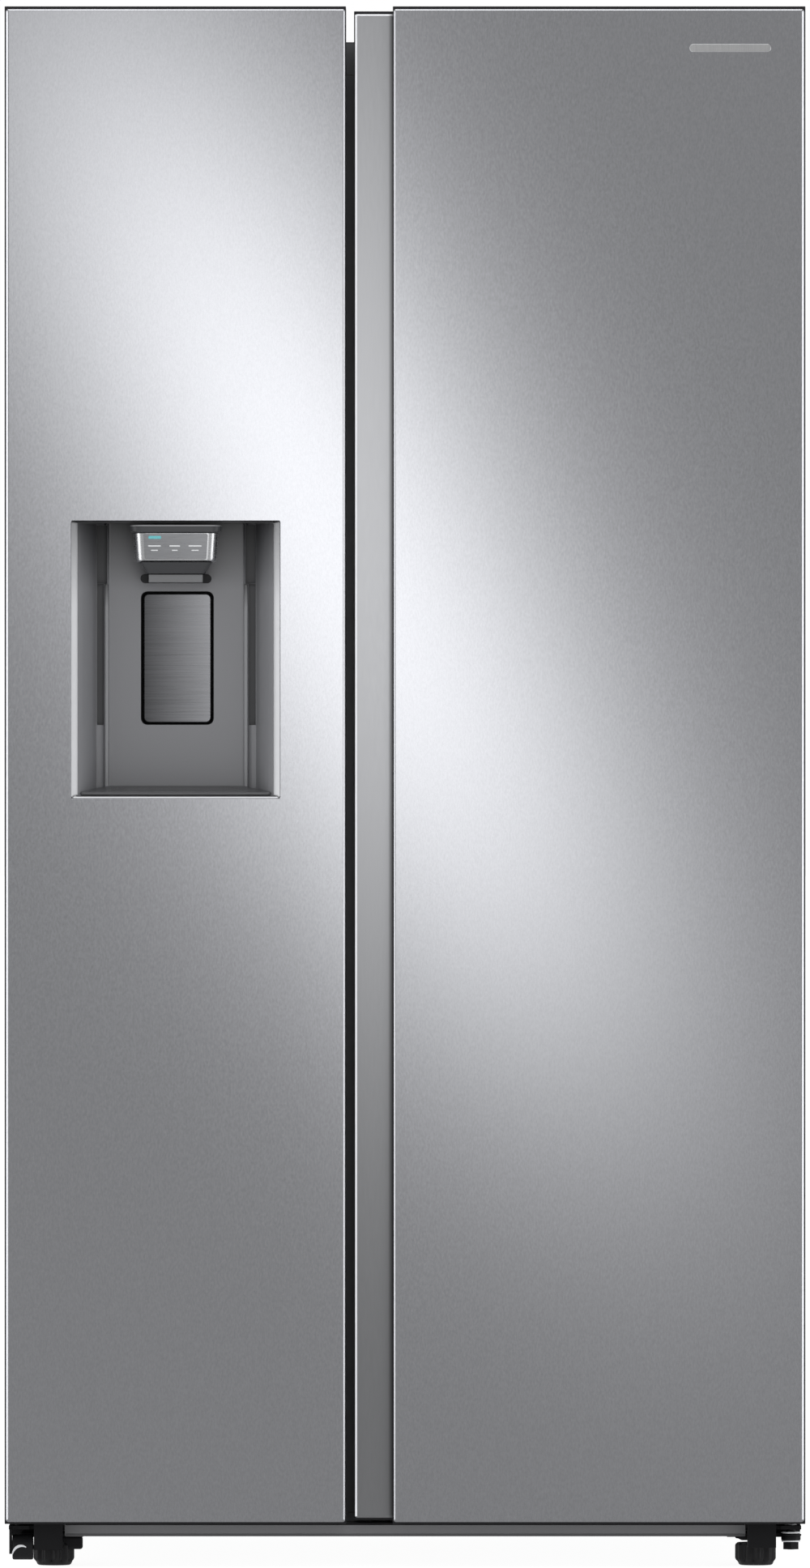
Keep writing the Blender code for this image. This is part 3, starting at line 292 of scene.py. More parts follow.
def poured(work, part):
    """Moves one bmesh's faces into another."""
    carrier = bpy.data.meshes.new("carrier")
    part.to_mesh(carrier)
    part.free()
    work.from_mesh(carrier)
    bpy.data.meshes.remove(carrier)
    return work


def block(work, low, high, width=0.0, segments=2):
    """Adds a box with rounded edges to a bmesh."""
    low, high = Vector(low), Vector(high)
    part = bmesh.new()
    placed = Matrix.Translation((low + high) / 2) @ Matrix.Diagonal((*(high - low), 1.0))
    bmesh.ops.create_cube(part, size=1.0, matrix=placed)
    if width > 0:
        rounded(part, width, segments)
    return poured(work, part)


def box_shape(low, high):
    """A box as a bmesh of its own."""
    return block(bmesh.new(), low, high)


def skin(work, rings, around=False):
    """Adds faces between each ring of points and the next, and closes it at both ends or around."""
    loops = [[work.verts.new(point) for point in ring] for ring in rings]
    pairs = list(zip(loops, loops[1:]))
    if around:
        pairs.append((loops[-1], loops[0]))
    for near, far in pairs:
        for index in range(len(near)):
            step = (index + 1) % len(near)
            work.faces.new((near[index], near[step], far[step], far[index]))
    if not around:
        work.faces.new(loops[0])
        work.faces.new(loops[-1])
    return work


def corners(low_u, high_u, low_v, high_v, radius, steps=5):
    """Points round a rectangle with round corners, from its upper right corner on."""
    points = []
    centres = ((high_u - radius, high_v - radius), (low_u + radius, high_v - radius),
               (low_u + radius, low_v + radius), (high_u - radius, low_v + radius))
    for quarter, (u, v) in enumerate(centres):
        for step in range(steps + 1):
            angle = (quarter + step / steps) * FULL_TURN / 4
            points.append((u + radius * math.cos(angle), v + radius * math.sin(angle)))
    return points


def upright(box, y, radius):
    """A ring of points facing the front: box is (low x, high x, low z, high z)."""
    return [(u, y, v) for u, v in corners(*box, radius)]


def level(box, z, radius):
    """A ring of points facing up: box is (low x, high x, low y, high y)."""
    return [(u, v, z) for u, v in corners(*box, radius)]


def inset(box, amount):
    """A rectangle shrunk by an amount on each side."""
    return box[0] + amount, box[1] - amount, box[2] + amount, box[3] - amount


LEAST_CORNER = 0.0004
HOLE_EDGE = 0.0004
HOLE_CORNER = 0.002


def fillet(radius, steps):
    """The profile of a round front edge."""
    angles = [step / steps * FULL_TURN / 4 for step in range(steps + 1)]
    return [(radius * (1 - math.sin(angle)), radius * (1 - math.cos(angle)))
            for angle in reversed(angles)]


def front_plate(work, box, near, far, corner, profile, hole=None, spread=(1.0, 1.0, 1.0, 1.0)):
    """Adds an upright plate with shaped front edges, and a hole through it if one is given.

    The profile's pairs are (inset from the edge, depth behind the front), from the edge inwards.
    The spread widens or narrows the insets on the left, on the right, below and above.
    """
    rings = [upright(box, far, corner)]
    for amount, depth in profile:
        left, right, below, above = [amount * factor for factor in spread]
        shrunk = (box[0] + left, box[1] - right, box[2] + below, box[3] - above)
        rings.append(upright(shrunk, near + depth, max(corner - amount, LEAST_CORNER)))
    if hole:
        rings.append(upright(inset(hole, -HOLE_EDGE), near, HOLE_CORNER))
        rings.append(upright(hole, near + HOLE_EDGE, HOLE_CORNER))
        rings.append(upright(hole, far, HOLE_CORNER))
    return skin(work, rings, around=bool(hole))


TURN_ABOUT = {"X": Matrix(((0, 0, 1), (1, 0, 0), (0, 1, 0))), "Z": Matrix.Identity(3)}


def turned(work, profile, centre, axis, ribs=0, depth=0.0, steps=72):
    """Adds a body turned about an axis from (radius, place along the axis) pairs.

    A pair with a third value that is true gets ribs of a depth.
    """
    rings = []
    for radius, along, *ribbed in profile:
        ring = []
        for step in range(steps):
            angle = step / steps * FULL_TURN
            wave = depth * (0.5 + 0.5 * math.cos(ribs * angle)) if ribbed else 0.0
            reach = radius - wave
            point = Vector((reach * math.cos(angle), reach * math.sin(angle), along))
            ring.append(Vector(centre) + TURN_ABOUT[axis] @ point)
        rings.append(ring)
    return skin(work, rings)


def carved(work, *cutters):
    """A bmesh less some others."""
    objects = []
    for shape in (work, *cutters):
        bmesh.ops.recalc_face_normals(shape, faces=shape.faces)
        mesh = bpy.data.meshes.new("uncut")
        shape.to_mesh(mesh)
        shape.free()
        made = bpy.data.objects.new("uncut", mesh)
        bpy.context.scene.collection.objects.link(made)
        objects.append(made)
    target = objects[0]
    for tool in objects[1:]:
        step = target.modifiers.new("cut", "BOOLEAN")
        step.operation = "DIFFERENCE"
        step.solver = "EXACT"
        step.object = tool
    bpy.context.view_layer.update()
    graph = bpy.context.evaluated_depsgraph_get()
    result = bpy.data.meshes.new_from_object(target.evaluated_get(graph))
    clean = bmesh.new()
    clean.from_mesh(result)
    for spare in objects:
        bpy.data.objects.remove(spare, do_unlink=True)
    return clean


def plan(work, outline, low, high, width):
    """Adds an upright body with a flat plan."""
    part = bmesh.new()
    skin(part, [[(x, y, low) for x, y in outline], [(x, y, high) for x, y in outline]])
    bmesh.ops.recalc_face_normals(part, faces=part.faces)
    rounded(part, width)
    return poured(work, part)


# Doors

FREEZER_LOW, FREEZER_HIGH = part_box("freezer_door_skin")
FRIDGE_LOW, FRIDGE_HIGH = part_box("fridge_door_skin")
STRIP_LOW, STRIP_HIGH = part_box("grip_strip")
FRONT = FREEZER_LOW.y
BACK = FREEZER_HIGH.y
FACE = FRONT + 0.0008       # the steel's face, a badge's thickness behind the object's front plane
BEHIND = FACE + 0.0056      # where the dark sides begin behind the steel
SEAM = 0.0002
LIP = FRONT + 0.012
CHANNEL = FRONT + 0.034     # the strip's face, at the back of the grip channel
STRIP_BED = CHANNEL + 0.0042
FREEZER_CHANNEL_X = -0.0895
FRIDGE_CHANNEL_X = 0.0135
FREEZER_DOOR = "freezer_door"
FRIDGE_DOOR = "fridge_door"
DOOR_CORNER = 0.0032
DOOR_ROUND = 0.0005
CORE = 0.0012               # from a door's outside to its filling
# the dark edge that shows beside, above and below each steel front
SIDE_EDGE = 0.0013
GAP_EDGE = 0.0006
TOP_EDGE = 0.0031
LOW_EDGE = 0.0022
# how much wider the lit chamfer is on a door's outer side and at its top
SIDE_SPREAD = 1.35
TOP_SPREAD = 0.75
CHAMFER = ((0.0, 0.0028), (0.0003, 0.0020), (0.0007, 0.0015), (0.0020, 0.0003),
           (0.0024, 0.0001), (0.0029, 0.0))
BADGE_BOX = (0.3250, 0.4180, 1.7320, 1.7412)
RECESS_MIDDLE = -0.262
RECESS_HALF = 0.1195
RECESS_LOW = 0.8794
RECESS_HIGH = 1.1967
POCKET_DEPTH = 0.0896       # of the hole through the freezer door's filling
HOUSING_DEPTH = 0.0886      # of the dispenser's housing in it


def recess_box(half, low, high):
    """A rectangle centred on the dispenser."""
    return RECESS_MIDDLE - half, RECESS_MIDDLE + half, low, high


def door_plans(door, low, high):
    """The plans of a door's dark sides and of its filling."""
    if door == FREEZER_DOOR:
        channel = FREEZER_CHANNEL_X
        sides = [(low.x, BEHIND), (high.x, BEHIND), (high.x, LIP), (channel, LIP),
                 (channel, CHANNEL), (high.x, CHANNEL), (high.x, BACK), (low.x, BACK)]
        filling = [(low.x + CORE, BEHIND + CORE), (channel - CORE, BEHIND + CORE),
                   (channel - CORE, CHANNEL + CORE), (high.x - CORE, CHANNEL + CORE),
                   (high.x - CORE, BACK - CORE), (low.x + CORE, BACK - CORE)]
    else:
        channel = FRIDGE_CHANNEL_X + 0.0003
        sides = [(low.x, BEHIND), (high.x, BEHIND), (high.x, BACK), (channel, BACK),
                 (channel, LIP), (low.x, LIP)]
        filling = [(channel + CORE, BEHIND + CORE), (high.x - CORE, BEHIND + CORE),
                   (high.x - CORE, BACK - CORE), (channel + CORE, BACK - CORE)]
    return sides, filling


def doors():
    """Both doors' steel fronts, dark sides and filling."""
    hole = recess_box(RECESS_HALF, RECESS_LOW, RECESS_HIGH)
    pocket = ((hole[0], FRONT - 0.01, hole[2]), (hole[1], FRONT + POCKET_DEPTH, hole[3]))
    for door, low, high in ((FREEZER_DOOR, FREEZER_LOW, FREEZER_HIGH),
                            (FRIDGE_DOOR, FRIDGE_LOW, FRIDGE_HIGH)):
        edges = [SIDE_EDGE, GAP_EDGE]
        spread = [SIDE_SPREAD, 1.0]
        if door == FRIDGE_DOOR:
            edges.reverse()
            spread.reverse()
        face_box = (low.x + edges[0], high.x - edges[1], low.z + LOW_EDGE, high.z - TOP_EDGE)
        work = front_plate(bmesh.new(), face_box, FACE, BEHIND - SEAM, DOOR_CORNER, CHAMFER,
                           hole=hole if door == FREEZER_DOOR else None,
                           spread=(*spread, 1.0, TOP_SPREAD))
        finished(door + "_front", work, STEEL, door, "stainless_steel", door + "_skin")

        sides, filling = door_plans(door, low, high)
        for name, path, shrink, finish, slot, nodes in (
                ("_sides", sides, 0, DOOR_EDGE, "stainless_steel", []),
                ("_filling", filling, CORE, FOAM, "foam", [door + "_foam"])):
            work = plan(bmesh.new(), path, low.z + shrink, high.z - shrink, DOOR_ROUND)
            if door == FREEZER_DOOR:
                work = carved(work, box_shape(*pocket))
            finished(door + name, work, finish, door, slot, *nodes)


def grip_strip():
    """The set-back strip on the fridge door's free edge, a glowing line painted as its left edge's
    highlight, and the badge's blank bar.
    """
    inner = FRIDGE_CHANNEL_X - 0.0015
    front = LIP + 0.0003
    outline = [(STRIP_LOW.x, BACK), (STRIP_LOW.x, STRIP_BED), (inner, STRIP_BED), (inner, front),
               (FRIDGE_CHANNEL_X, front), (FRIDGE_CHANNEL_X, BACK)]
    work = plan(bmesh.new(), outline, STRIP_LOW.z, STRIP_HIGH.z, 0.0006)
    finished("grip_strip_body", work, DOOR_EDGE, FRIDGE_DOOR, "strip_silver", "grip_strip")

    face_box = (STRIP_LOW.x + GAP_EDGE, inner - SEAM, STRIP_LOW.z + LOW_EDGE,
                STRIP_HIGH.z - TOP_EDGE)
    work = front_plate(bmesh.new(), face_box, CHANNEL, STRIP_BED - SEAM, DOOR_CORNER, CHAMFER)
    finished("grip_strip_face", work, STRIP, FRIDGE_DOOR, "strip_silver")

    # painted highlight: a pale glowing line along the strip's left edge
    short = 0.0040
    work = block(bmesh.new(), (STRIP_LOW.x + 0.0012, CHANNEL - 0.0004, STRIP_LOW.z + short),
                 (STRIP_LOW.x + 0.0036, CHANNEL + 0.0030, STRIP_HIGH.z - short), 0.0005)
    finished("grip_strip_edge_highlight", work, STRIP_EDGE_HIGHLIGHT, FRIDGE_DOOR, "strip_silver")

    work = front_plate(bmesh.new(), BADGE_BOX, FRONT, FACE + 0.0002, 0.0040, fillet(0.0006, 3))
    finished("blank_badge", work, BADGE, FRIDGE_DOOR, "nose_silver")


# Dispenser

LEVER_LOW, LEVER_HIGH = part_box("dispenser_lever")
LEVER_MIDDLE = (LEVER_LOW.x + LEVER_HIGH.x) / 2
LEVER_POCKET = (LEVER_MIDDLE - 0.0418, LEVER_MIDDLE + 0.0418, 0.9638, 1.1169)
POCKET_CORNER = 0.0075
RECESS_CORNER = 0.0016
# the recess's walls: depth, half width, rise above the opening's bottom
WALLS = ((0.0075, 0.1115, 0.0030), (0.0110, 0.1085, 0.0034), (0.0165, 0.1050, 0.0040),
         (0.0250, 0.1010, 0.0050), (0.0370, 0.0968, 0.0064), (0.0500, 0.0935, 0.0082),
         (0.0610, 0.0915, 0.0096), (0.0662, 0.0828, 0.0104), (0.0640, 0.0815, 0.0105),
         (0.0626, 0.0800, 0.0106), (0.0632, 0.0784, 0.0107), (0.0668, 0.0770, 0.0108),
         (0.0672, 0.0750, 0.0108))
WALL_DROP = 0.0020
# the upright grooves beside its middle, and above them a wider pocket painted dark as shade: near
# and far x from the middle, low z, high z, depth
GROOVES = ((0.0832, 0.0910, 0.9636, 1.1254, 0.0715), (0.0790, 0.0911, 1.1256, 1.1925, 0.0716))
# the rim's section: depth, half width, rise, drop, corner
RIM_RINGS = ((0.0074, 0.1193, 0.0001, 0.0001, 0.0030), (0.0012, 0.1193, 0.0001, 0.0001, 0.0030),
             (0.0009, 0.1189, 0.0005, 0.0003, 0.0030), (0.0036, 0.1155, 0.0028, 0.0010, 0.0026),
             (0.0064, 0.1120, 0.0032, 0.0016, 0.0020), (0.0074, 0.1117, 0.0032, 0.0016, 0.0020))
SLOTS = 5
SLOT_PITCH = 0.009
SLOT_HALF = 0.0016
# the nose from below to above: z, half width, depth of its front, corner
NOSE_BODY = ((1.1497, 0.0438, 0.0100, 0.0110), (1.1504, 0.0452, 0.0086, 0.0125),
             (1.1520, 0.0463, 0.0078, 0.0135), (1.1550, 0.0467, 0.0072, 0.0140),
             (1.1824, 0.0483, 0.0030, 0.0140), (1.1830, 0.0478, 0.0036, 0.0135))
NOSE_LIP = ((1.1831, 0.0486, 0.0030, 0.0125), (1.1840, 0.0508, 0.0012, 0.0125),
            (1.1852, 0.0519, 0.0008, 0.0130), (1.1904, 0.0523, 0.0009, 0.0130))
NOSE_CAP = ((1.1905, 0.0522, 0.0007, 0.0125), (1.1909, 0.0524, 0.0004, 0.0125),
            (1.1917, 0.0518, 0.0008, 0.0120), (1.1921, 0.0505, 0.0020, 0.0110))
NECK_RINGS = ((1.1363, 0.0325, 0.0125, 0.004), (1.1368, 0.0333, 0.0115, 0.005),
              (1.1494, 0.0412, 0.0060, 0.006))
# the plain bars in place of words: x of the middle, half width
MARKS = ((-0.2862, 0.0074), (-0.2630, 0.0062), (-0.2398, 0.0076))


def beside(hand, near, far):
    """The x range between two distances from the dispenser's middle: hand is -1 left or 1 right."""
    return sorted(RECESS_MIDDLE + hand * distance for distance in (near, far))


def recess():
    """The recess's walls with their grooves, ridges and rim, painted shade in the grooves, at the
    foot of its back and round the lever's pocket, and a painted highlight along its lower edge.
    """
    back = FRONT + HOUSING_DEPTH
    outside = recess_box(0.1190, RECESS_LOW + 0.0003, RECESS_HIGH - 0.0003)
    rings = [upright(outside, back, 0.002), upright(outside, FRONT + 0.0075, 0.002)]
    for depth, half, rise in WALLS:
        wall = recess_box(half, RECESS_LOW + rise, RECESS_HIGH - WALL_DROP)
        rings.append(upright(wall, FRONT + depth, RECESS_CORNER))
    work = skin(bmesh.new(), rings)
    cutters = []
    # thin dark floors painted as the shade in the grooves
    shade_floors = bmesh.new()
    for hand in (-1, 1):
        for near, far, bottom, top, depth in GROOVES:
            left, right = beside(hand, near, far)
            deep = FRONT + depth
            cutters.append(box_shape((left, FRONT + 0.040, bottom), (right, deep, top)))
            block(shade_floors, (left + 0.0001, deep - 0.0006, bottom + 0.0001),
                  (right - 0.0001, deep - 0.0001, top - 0.0001))
    cutters.append(skin(bmesh.new(), [upright(LEVER_POCKET, FRONT + depth, POCKET_CORNER)
                                      for depth in (0.060, 0.0872)]))
    finished("dispenser_recess", carved(work, *cutters), RECESS, FREEZER_DOOR, "dispenser_grey",
             "dispenser_housing", crease=40)
    finished("dispenser_grooves", shade_floors, GROOVE_SHADE, FREEZER_DOOR, "dispenser_grey")

    work = bmesh.new()
    for hand in (-1, 1):
        left, right = beside(hand, 0.0776, 0.0822)
        block(work, (left, FRONT + 0.0616, RECESS_LOW + 0.0112), (right, FRONT + 0.0660, 1.1252),
              0.0016, 3)
    finished("dispenser_ridges", work, RIDGE_LIT_AND_SHADED, FREEZER_DOOR, "dispenser_grey")

    left, right = RECESS_MIDDLE - 0.0745, RECESS_MIDDLE + 0.0745
    work = block(bmesh.new(), (left, FRONT + 0.0656, RECESS_LOW + 0.0102),
                 (right, FRONT + 0.0674, RECESS_LOW + 0.0130), 0.0003)
    finished("dispenser_sill_shadow", work, SHADOW_BLACK, FREEZER_DOOR, "dispenser_grey")
    # painted highlight: a pale line along the recess's lower edge
    left, right = RECESS_MIDDLE - 0.1165, RECESS_MIDDLE + 0.1165
    work = block(bmesh.new(), (left, FRONT + 0.0009, RECESS_LOW + 0.0003),
                 (right, FRONT + 0.0030, RECESS_LOW + 0.0021), 0.0006)
    finished("dispenser_lower_edge_highlight", work, PALE_TRIM_AND_HIGHLIGHT, FREEZER_DOOR, "nose_silver")

    # painted shade: a black lining round the lever's pocket, where the gap is in shade
    edge = 0.0002
    rings = [upright(inset(LEVER_POCKET, shrink), FRONT + depth, corner)
             for shrink, depth, corner in ((edge, 0.0870, 0.0073), (edge, 0.0680, 0.0073),
                                           (edge * 4, 0.0680, 0.0068), (edge * 4, 0.0860, 0.0068))]
    finished("dispenser_pocket", skin(bmesh.new(), rings), SHADOW_BLACK, FREEZER_DOOR, "black_plastic")

    rings = [upright(recess_box(half, RECESS_LOW + rise, RECESS_HIGH - drop), FRONT + depth, corner)
             for depth, half, rise, drop, corner in RIM_RINGS]
    work = skin(bmesh.new(), rings, around=True)
    finished("dispenser_rim", work, RIM, FREEZER_DOOR, "nose_silver")


def drip_tray():
    """The slotted tray, which narrows and rises towards the back."""
    sill = RECESS_LOW + 0.0044
    near, far = FRONT + 0.0075, FRONT + 0.0640
    near_half, far_half = 0.1100, 0.0790
    climb = 0.0070
    rings = []
    for lift, shrink in ((0.0, 0.0), (0.0022, 0.0), (0.0030, 0.0010)):
        ring = []
        for u, v in corners(-1.0, 1.0, 0.0, 1.0, 0.06):
            half = near_half + (far_half - near_half) * v - shrink
            y = min(max(near + (far - near) * v, near + shrink), far - shrink)
            ring.append((RECESS_MIDDLE + u * half, y, sill + climb * v + lift))
        rings.append(ring)
    slots = []
    for row in range(SLOTS):
        y = FRONT + 0.019 + row * SLOT_PITCH
        half = 0.078 - row * 0.004
        slots.append(box_shape((RECESS_MIDDLE - half, y - SLOT_HALF, sill - 0.01),
                               (RECESS_MIDDLE + half, y + SLOT_HALF, sill + 0.03)))
    finished("drip_tray_shape", carved(skin(bmesh.new(), rings), *slots), TRAY, FREEZER_DOOR,
             "dispenser_grey", "drip_tray", crease=25)


def stacked(rows, back):
    """A body from level rings of (z, half width, depth of its front, corner), with one back."""
    return skin(bmesh.new(), [
        level((RECESS_MIDDLE - half, RECESS_MIDDLE + half, FRONT + front, FRONT + back), z, corner)
        for z, half, front, corner in rows])


def nose():
    """The control nose with its lip, its leaning face and the neck and ports under it."""
    for name, finish, rows, nodes in (("dispenser_nose", NOSE_ENDS, NOSE_BODY, ["dispenser_panel"]),
                                      ("dispenser_nose_lip", NECK, NOSE_LIP, []),
                                      ("dispenser_nose_top", NOSE_TOP, NOSE_CAP, [])):
        work = stacked(rows, 0.0400)
        finished(name, work, finish, FREEZER_DOOR, "nose_silver", *nodes, crease=40)

    low_z, high_z = 1.1530, 1.1818
    low_y, high_y = 0.0072, 0.0030
    rings = []
    for back, shrink in ((0.0030, 0.0), (0.0002, 0.0), (0.0001, 0.0002)):
        ring = []
        for u, v in corners(-1.0, 1.0, 0.0, 1.0, 0.05, 4):
            half = 0.0352 + 0.0016 * v - shrink
            z = low_z + shrink + (high_z - low_z - 2 * shrink) * v
            y = FRONT + low_y + (high_y - low_y) * v + back - 0.0002
            ring.append((RECESS_MIDDLE + u * half, y, z))
        rings.append(ring)
    finished("dispenser_nose_face", skin(bmesh.new(), rings), NOSE, FREEZER_DOOR, "nose_silver",
             crease=25)
    finished("dispenser_neck", stacked(NECK_RINGS, 0.0500), NECK, FREEZER_DOOR, "dispenser_grey",
             "dispenser_chute")

    # the ports are a black plate painted as the shade inside their openings
    for name, half, low, high, near, far, corner, edge, finish, slot in (
            ("dispenser_chute_front", 0.0310, 1.1262, 1.1358, 0.0140, 0.0640, 0.0010, 0.0012,
             CHUTE, "dispenser_grey"),
            ("dispenser_ports", 0.0404, 1.1260, 1.1360, 0.0200, 0.0600, 0.0049, 0.0010,
             SHADOW_BLACK, "black_plastic")):
        work = front_plate(bmesh.new(), recess_box(half, low, high), FRONT + near, FRONT + far,
                           corner, fillet(edge, 3))
        finished(name, work, finish, FREEZER_DOOR, slot)


def lever_and_marks():
    """The push lever's plate, the nose's lamp and its plain bars."""
    plate_box = (LEVER_LOW.x + 0.0063, LEVER_HIGH.x - 0.0063, LEVER_LOW.z + 0.0001,
                 LEVER_HIGH.z - 0.0001)
    work = front_plate(bmesh.new(), plate_box, LEVER_LOW.y - 0.0006, LEVER_HIGH.y, 0.0062,
                       fillet(0.0014, 4))
    finished("dispenser_lever_plate", work, LEVER, "dispenser_lever", "lever_steel",
             "dispenser_lever")

    work = front_plate(bmesh.new(), (-0.2932, -0.2784, 1.1760, 1.1796), FRONT + 0.0031,
                       FRONT + 0.0070, 0.0016, fillet(0.0004, 2))
    finished("dispenser_lamp", work, LAMP, FREEZER_DOOR, "nose_silver")

    work = bmesh.new()
    edge = fillet(0.0003, 2)
    for x, wide in MARKS:
        front_plate(work, (x - wide, x + wide, 1.1672, 1.1690), FRONT + 0.0048, FRONT + 0.0080,
                    0.0008, edge)
        short = wide * 0.55
        front_plate(work, (x - short, x + short, 1.1624, 1.1638), FRONT + 0.0055, FRONT + 0.0085,
                    0.0006, edge)
    finished("dispenser_marks", work, PRINT, FREEZER_DOOR, "nose_silver")


# Cabinet

SHEET = 0.0012
FLANGE = 0.0355
BEND = 0.006
TOP_POINTS = 12             # the points of a rectangle's two upper corners
FOAM_MARGIN = 0.0120
# CAD nodes that keep their own shape: edge rounding, look, slot
PLAIN_NODES = (
    ("back_panel", 0.0002, ZINC, "zinc_sheet"), ("machine_cover", 0.0004, ZINC, "zinc_sheet"),
    ("insulation_foam", 0.0, FOAM, "foam"), ("freezer_liner", 0.004, WHITE, "liner_white"),
    ("fridge_liner", 0.004, WHITE, "liner_white"), ("mullion_cover", 0.0006, CASE, "case_paint"),
    ("base_rail", 0.0003, RAIL, "rail_grey"), ("base_plate", 0.0004, ZINC, "zinc_sheet"),
    ("power_gland", 0.0010, BLACK, "black_plastic"), ("drain_pan", 0.0008, BLACK, "black_plastic"),
    ("fan_bracket", 0.0006, ZINC, "zinc_sheet"), ("condenser_fan", 0.0004, BLACK, "black_plastic"),
    ("freezer_fan", 0.0004, BLACK, "black_plastic"),
    ("evaporator_cover", 0.0009, WHITE, "liner_white"),
    ("fridge_duct_cover", 0.0025, WHITE, "liner_white"),
    ("top_hinge_left", 0.0004, ZINC, "zinc_sheet"), ("top_hinge_right", 0.0004, ZINC, "zinc_sheet"),
    ("hinge_cover_left", 0.0, COVER, "cover_grey"), ("hinge_cover_right", 0.0, COVER, "cover_grey"),
    ("lower_bracket_left", 0.0011, BLACK_METAL, "black_metal"),
    ("lower_bracket_right", 0.0011, BLACK_METAL, "black_metal"),
    ("compressor", 0.0012, BLACK_METAL, "black_metal"),
    ("condenser", 0.0, BLACK_METAL, "black_metal"), ("evaporator", 0.0, FINS, "fin_aluminium"))


def case_arch(low, high, thickness):
    """Points up the case's left side, over its top and down its right side, inside its sheet."""
    left, right = low.x + thickness, high.x - thickness
    bends = corners(left, right, low.z, high.z - thickness, BEND - thickness)[:TOP_POINTS]
    return [(left, low.z)] + bends[::-1] + [(right, low.z)]


def cabinet():
    """The outer case, the nodes that keep their shape, painted shadow and shade at the rail's top
    and lower edges, and the lamp panel.
    """
    low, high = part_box("outer_case")
    outline = case_arch(low, high, 0) + case_arch(low, high, SHEET)[::-1]
    work = skin(bmesh.new(), [[(x, y, z) for x, z in outline] for y in (low.y, high.y)])
    edge = 0.0004
    shy = 0.004
    front, back = low.y, low.y + SHEET
    block(work, (low.x + edge, front, low.z), (low.x + FLANGE, back, high.z - shy), edge)
    block(work, (high.x - FLANGE, front, low.z), (high.x - edge, back, high.z - shy), edge)
    block(work, (low.x + shy, front, high.z - FLANGE - 0.002),
          (high.x - shy, back, high.z - edge), edge)
    finished("outer_case_shape", work, CASE, "cabinet", "case_paint", "outer_case")

    for node, width, finish, slot in PLAIN_NODES:
        piece = softened(node, width, finish, slot)
        if node == "insulation_foam":
            held(piece, (low.x + FOAM_MARGIN, low.y, 0.0),
                 (high.x - FOAM_MARGIN, high.y - FOAM_MARGIN / 2, high.z - FOAM_MARGIN))
        elif node.startswith("top_hinge"):
            # the hinge arms stay out of sight behind the doors' tops
            held(piece, (low.x, -1.0, 0.0), (high.x, 1.0, FREEZER_HIGH.z + 0.0016))

    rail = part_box("base_rail")[0]
    reach = 0.3890
    # painted shadow: a black line along the rail's top, under the doors' bottom edges
    work = block(bmesh.new(), (-reach, rail.y - 0.0008, 0.0468), (reach, rail.y + 0.0010, 0.0494),
                 0.0003)
    finished("base_rail_shadow_line", work, SHADOW_BLACK, "cabinet", "black_plastic")
    # painted shade: the rail's lower lip in a darker copy of its grey
    work = block(bmesh.new(), (-reach, rail.y - 0.0004, rail.z - 0.0008),
                 (reach, rail.y + 0.0040, rail.z + 0.0022), 0.0004)
    finished("base_rail_lip", work, RAIL_LIP_SHADE, "cabinet", "rail_grey")

    work = block(bmesh.new(), (0.110, -0.240, 1.6850), (0.260, -0.170, 1.6925), 0.002)
    finished("fridge_lamp_panel", work, LIGHT, "cabinet", "liner_white")


# Feet, rollers and hinge pins

FOOT_RIBS = 11
RIB_DEPTH = 0.0034
FOOT_STEPS = 198
AXIS_GAP = 0.0010           # the small hole left on a turned body's axis
HINGE_PIN = (0.442, -0.3665, 0.0)
# the right lower hinge's washers: bottom, top, radius
WASHERS = ((0.0473, 0.0487, 0.0064), (0.0378, 0.0396, 0.0112), (0.0282, 0.0298, 0.0108),
           (0.0196, 0.0206, 0.0086))
BUSH = ((AXIS_GAP, 0.0299), (0.0106, 0.0299), (0.0112, 0.0306), (0.0112, 0.0340),
        (0.0108, 0.0346), (AXIS_GAP, 0.0346))
PIN_STEPS = 40
HUB_STEPS = 48
TYRE_BORE = 0.62            # parts of a roller's radius
TYRE_LAND = 0.66
HUB_RIM = 0.6
HUB_END = 0.5
# a pale arc painted as the left roller's highlight
HIGHLIGHT_ARC_POINTS = 13
HIGHLIGHT_ARC_RADIUS = 0.0112
HIGHLIGHT_ARC_START = 172            # degrees
HIGHLIGHT_ARC_STEP = 9.5
# the web of the right bracket: x and z round its outline
WEB = ((0.3775, 0.0332), (0.3860, 0.0292), (0.3930, 0.0292), (0.3930, 0.0332))


def feet():
    """The two ribbed levelling feet with their threads."""
    for side in ("left", "right"):
        node = "leveling_foot_" + side
        low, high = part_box(node)
        centre = ((low.x + high.x) / 2, (low.y + high.y) / 2, 0.0)
        radius = (high.x - low.x) / 2
        knob = ((AXIS_GAP, 0.0), (radius - 0.0062, 0.0), (radius - 0.0046, 0.0008),
                (radius - 0.0030, 0.0040), (radius - 0.0008, 0.0062, True), (radius, 0.0080, True),
                (radius, 0.0225, True), (radius - 0.0006, 0.0240, True), (radius - 0.0026, 0.0258),
                (0.0075, 0.0260), (0.0070, 0.0262), (0.0060, 0.0270), (0.0060, high.z - 0.0006),
                (0.0052, high.z), (AXIS_GAP, high.z))
        work = turned(bmesh.new(), knob, centre, "Z", FOOT_RIBS, RIB_DEPTH, FOOT_STEPS)
        finished("ribbed_foot_" + side, work, BLACK, node, "black_plastic", node, crease=50)


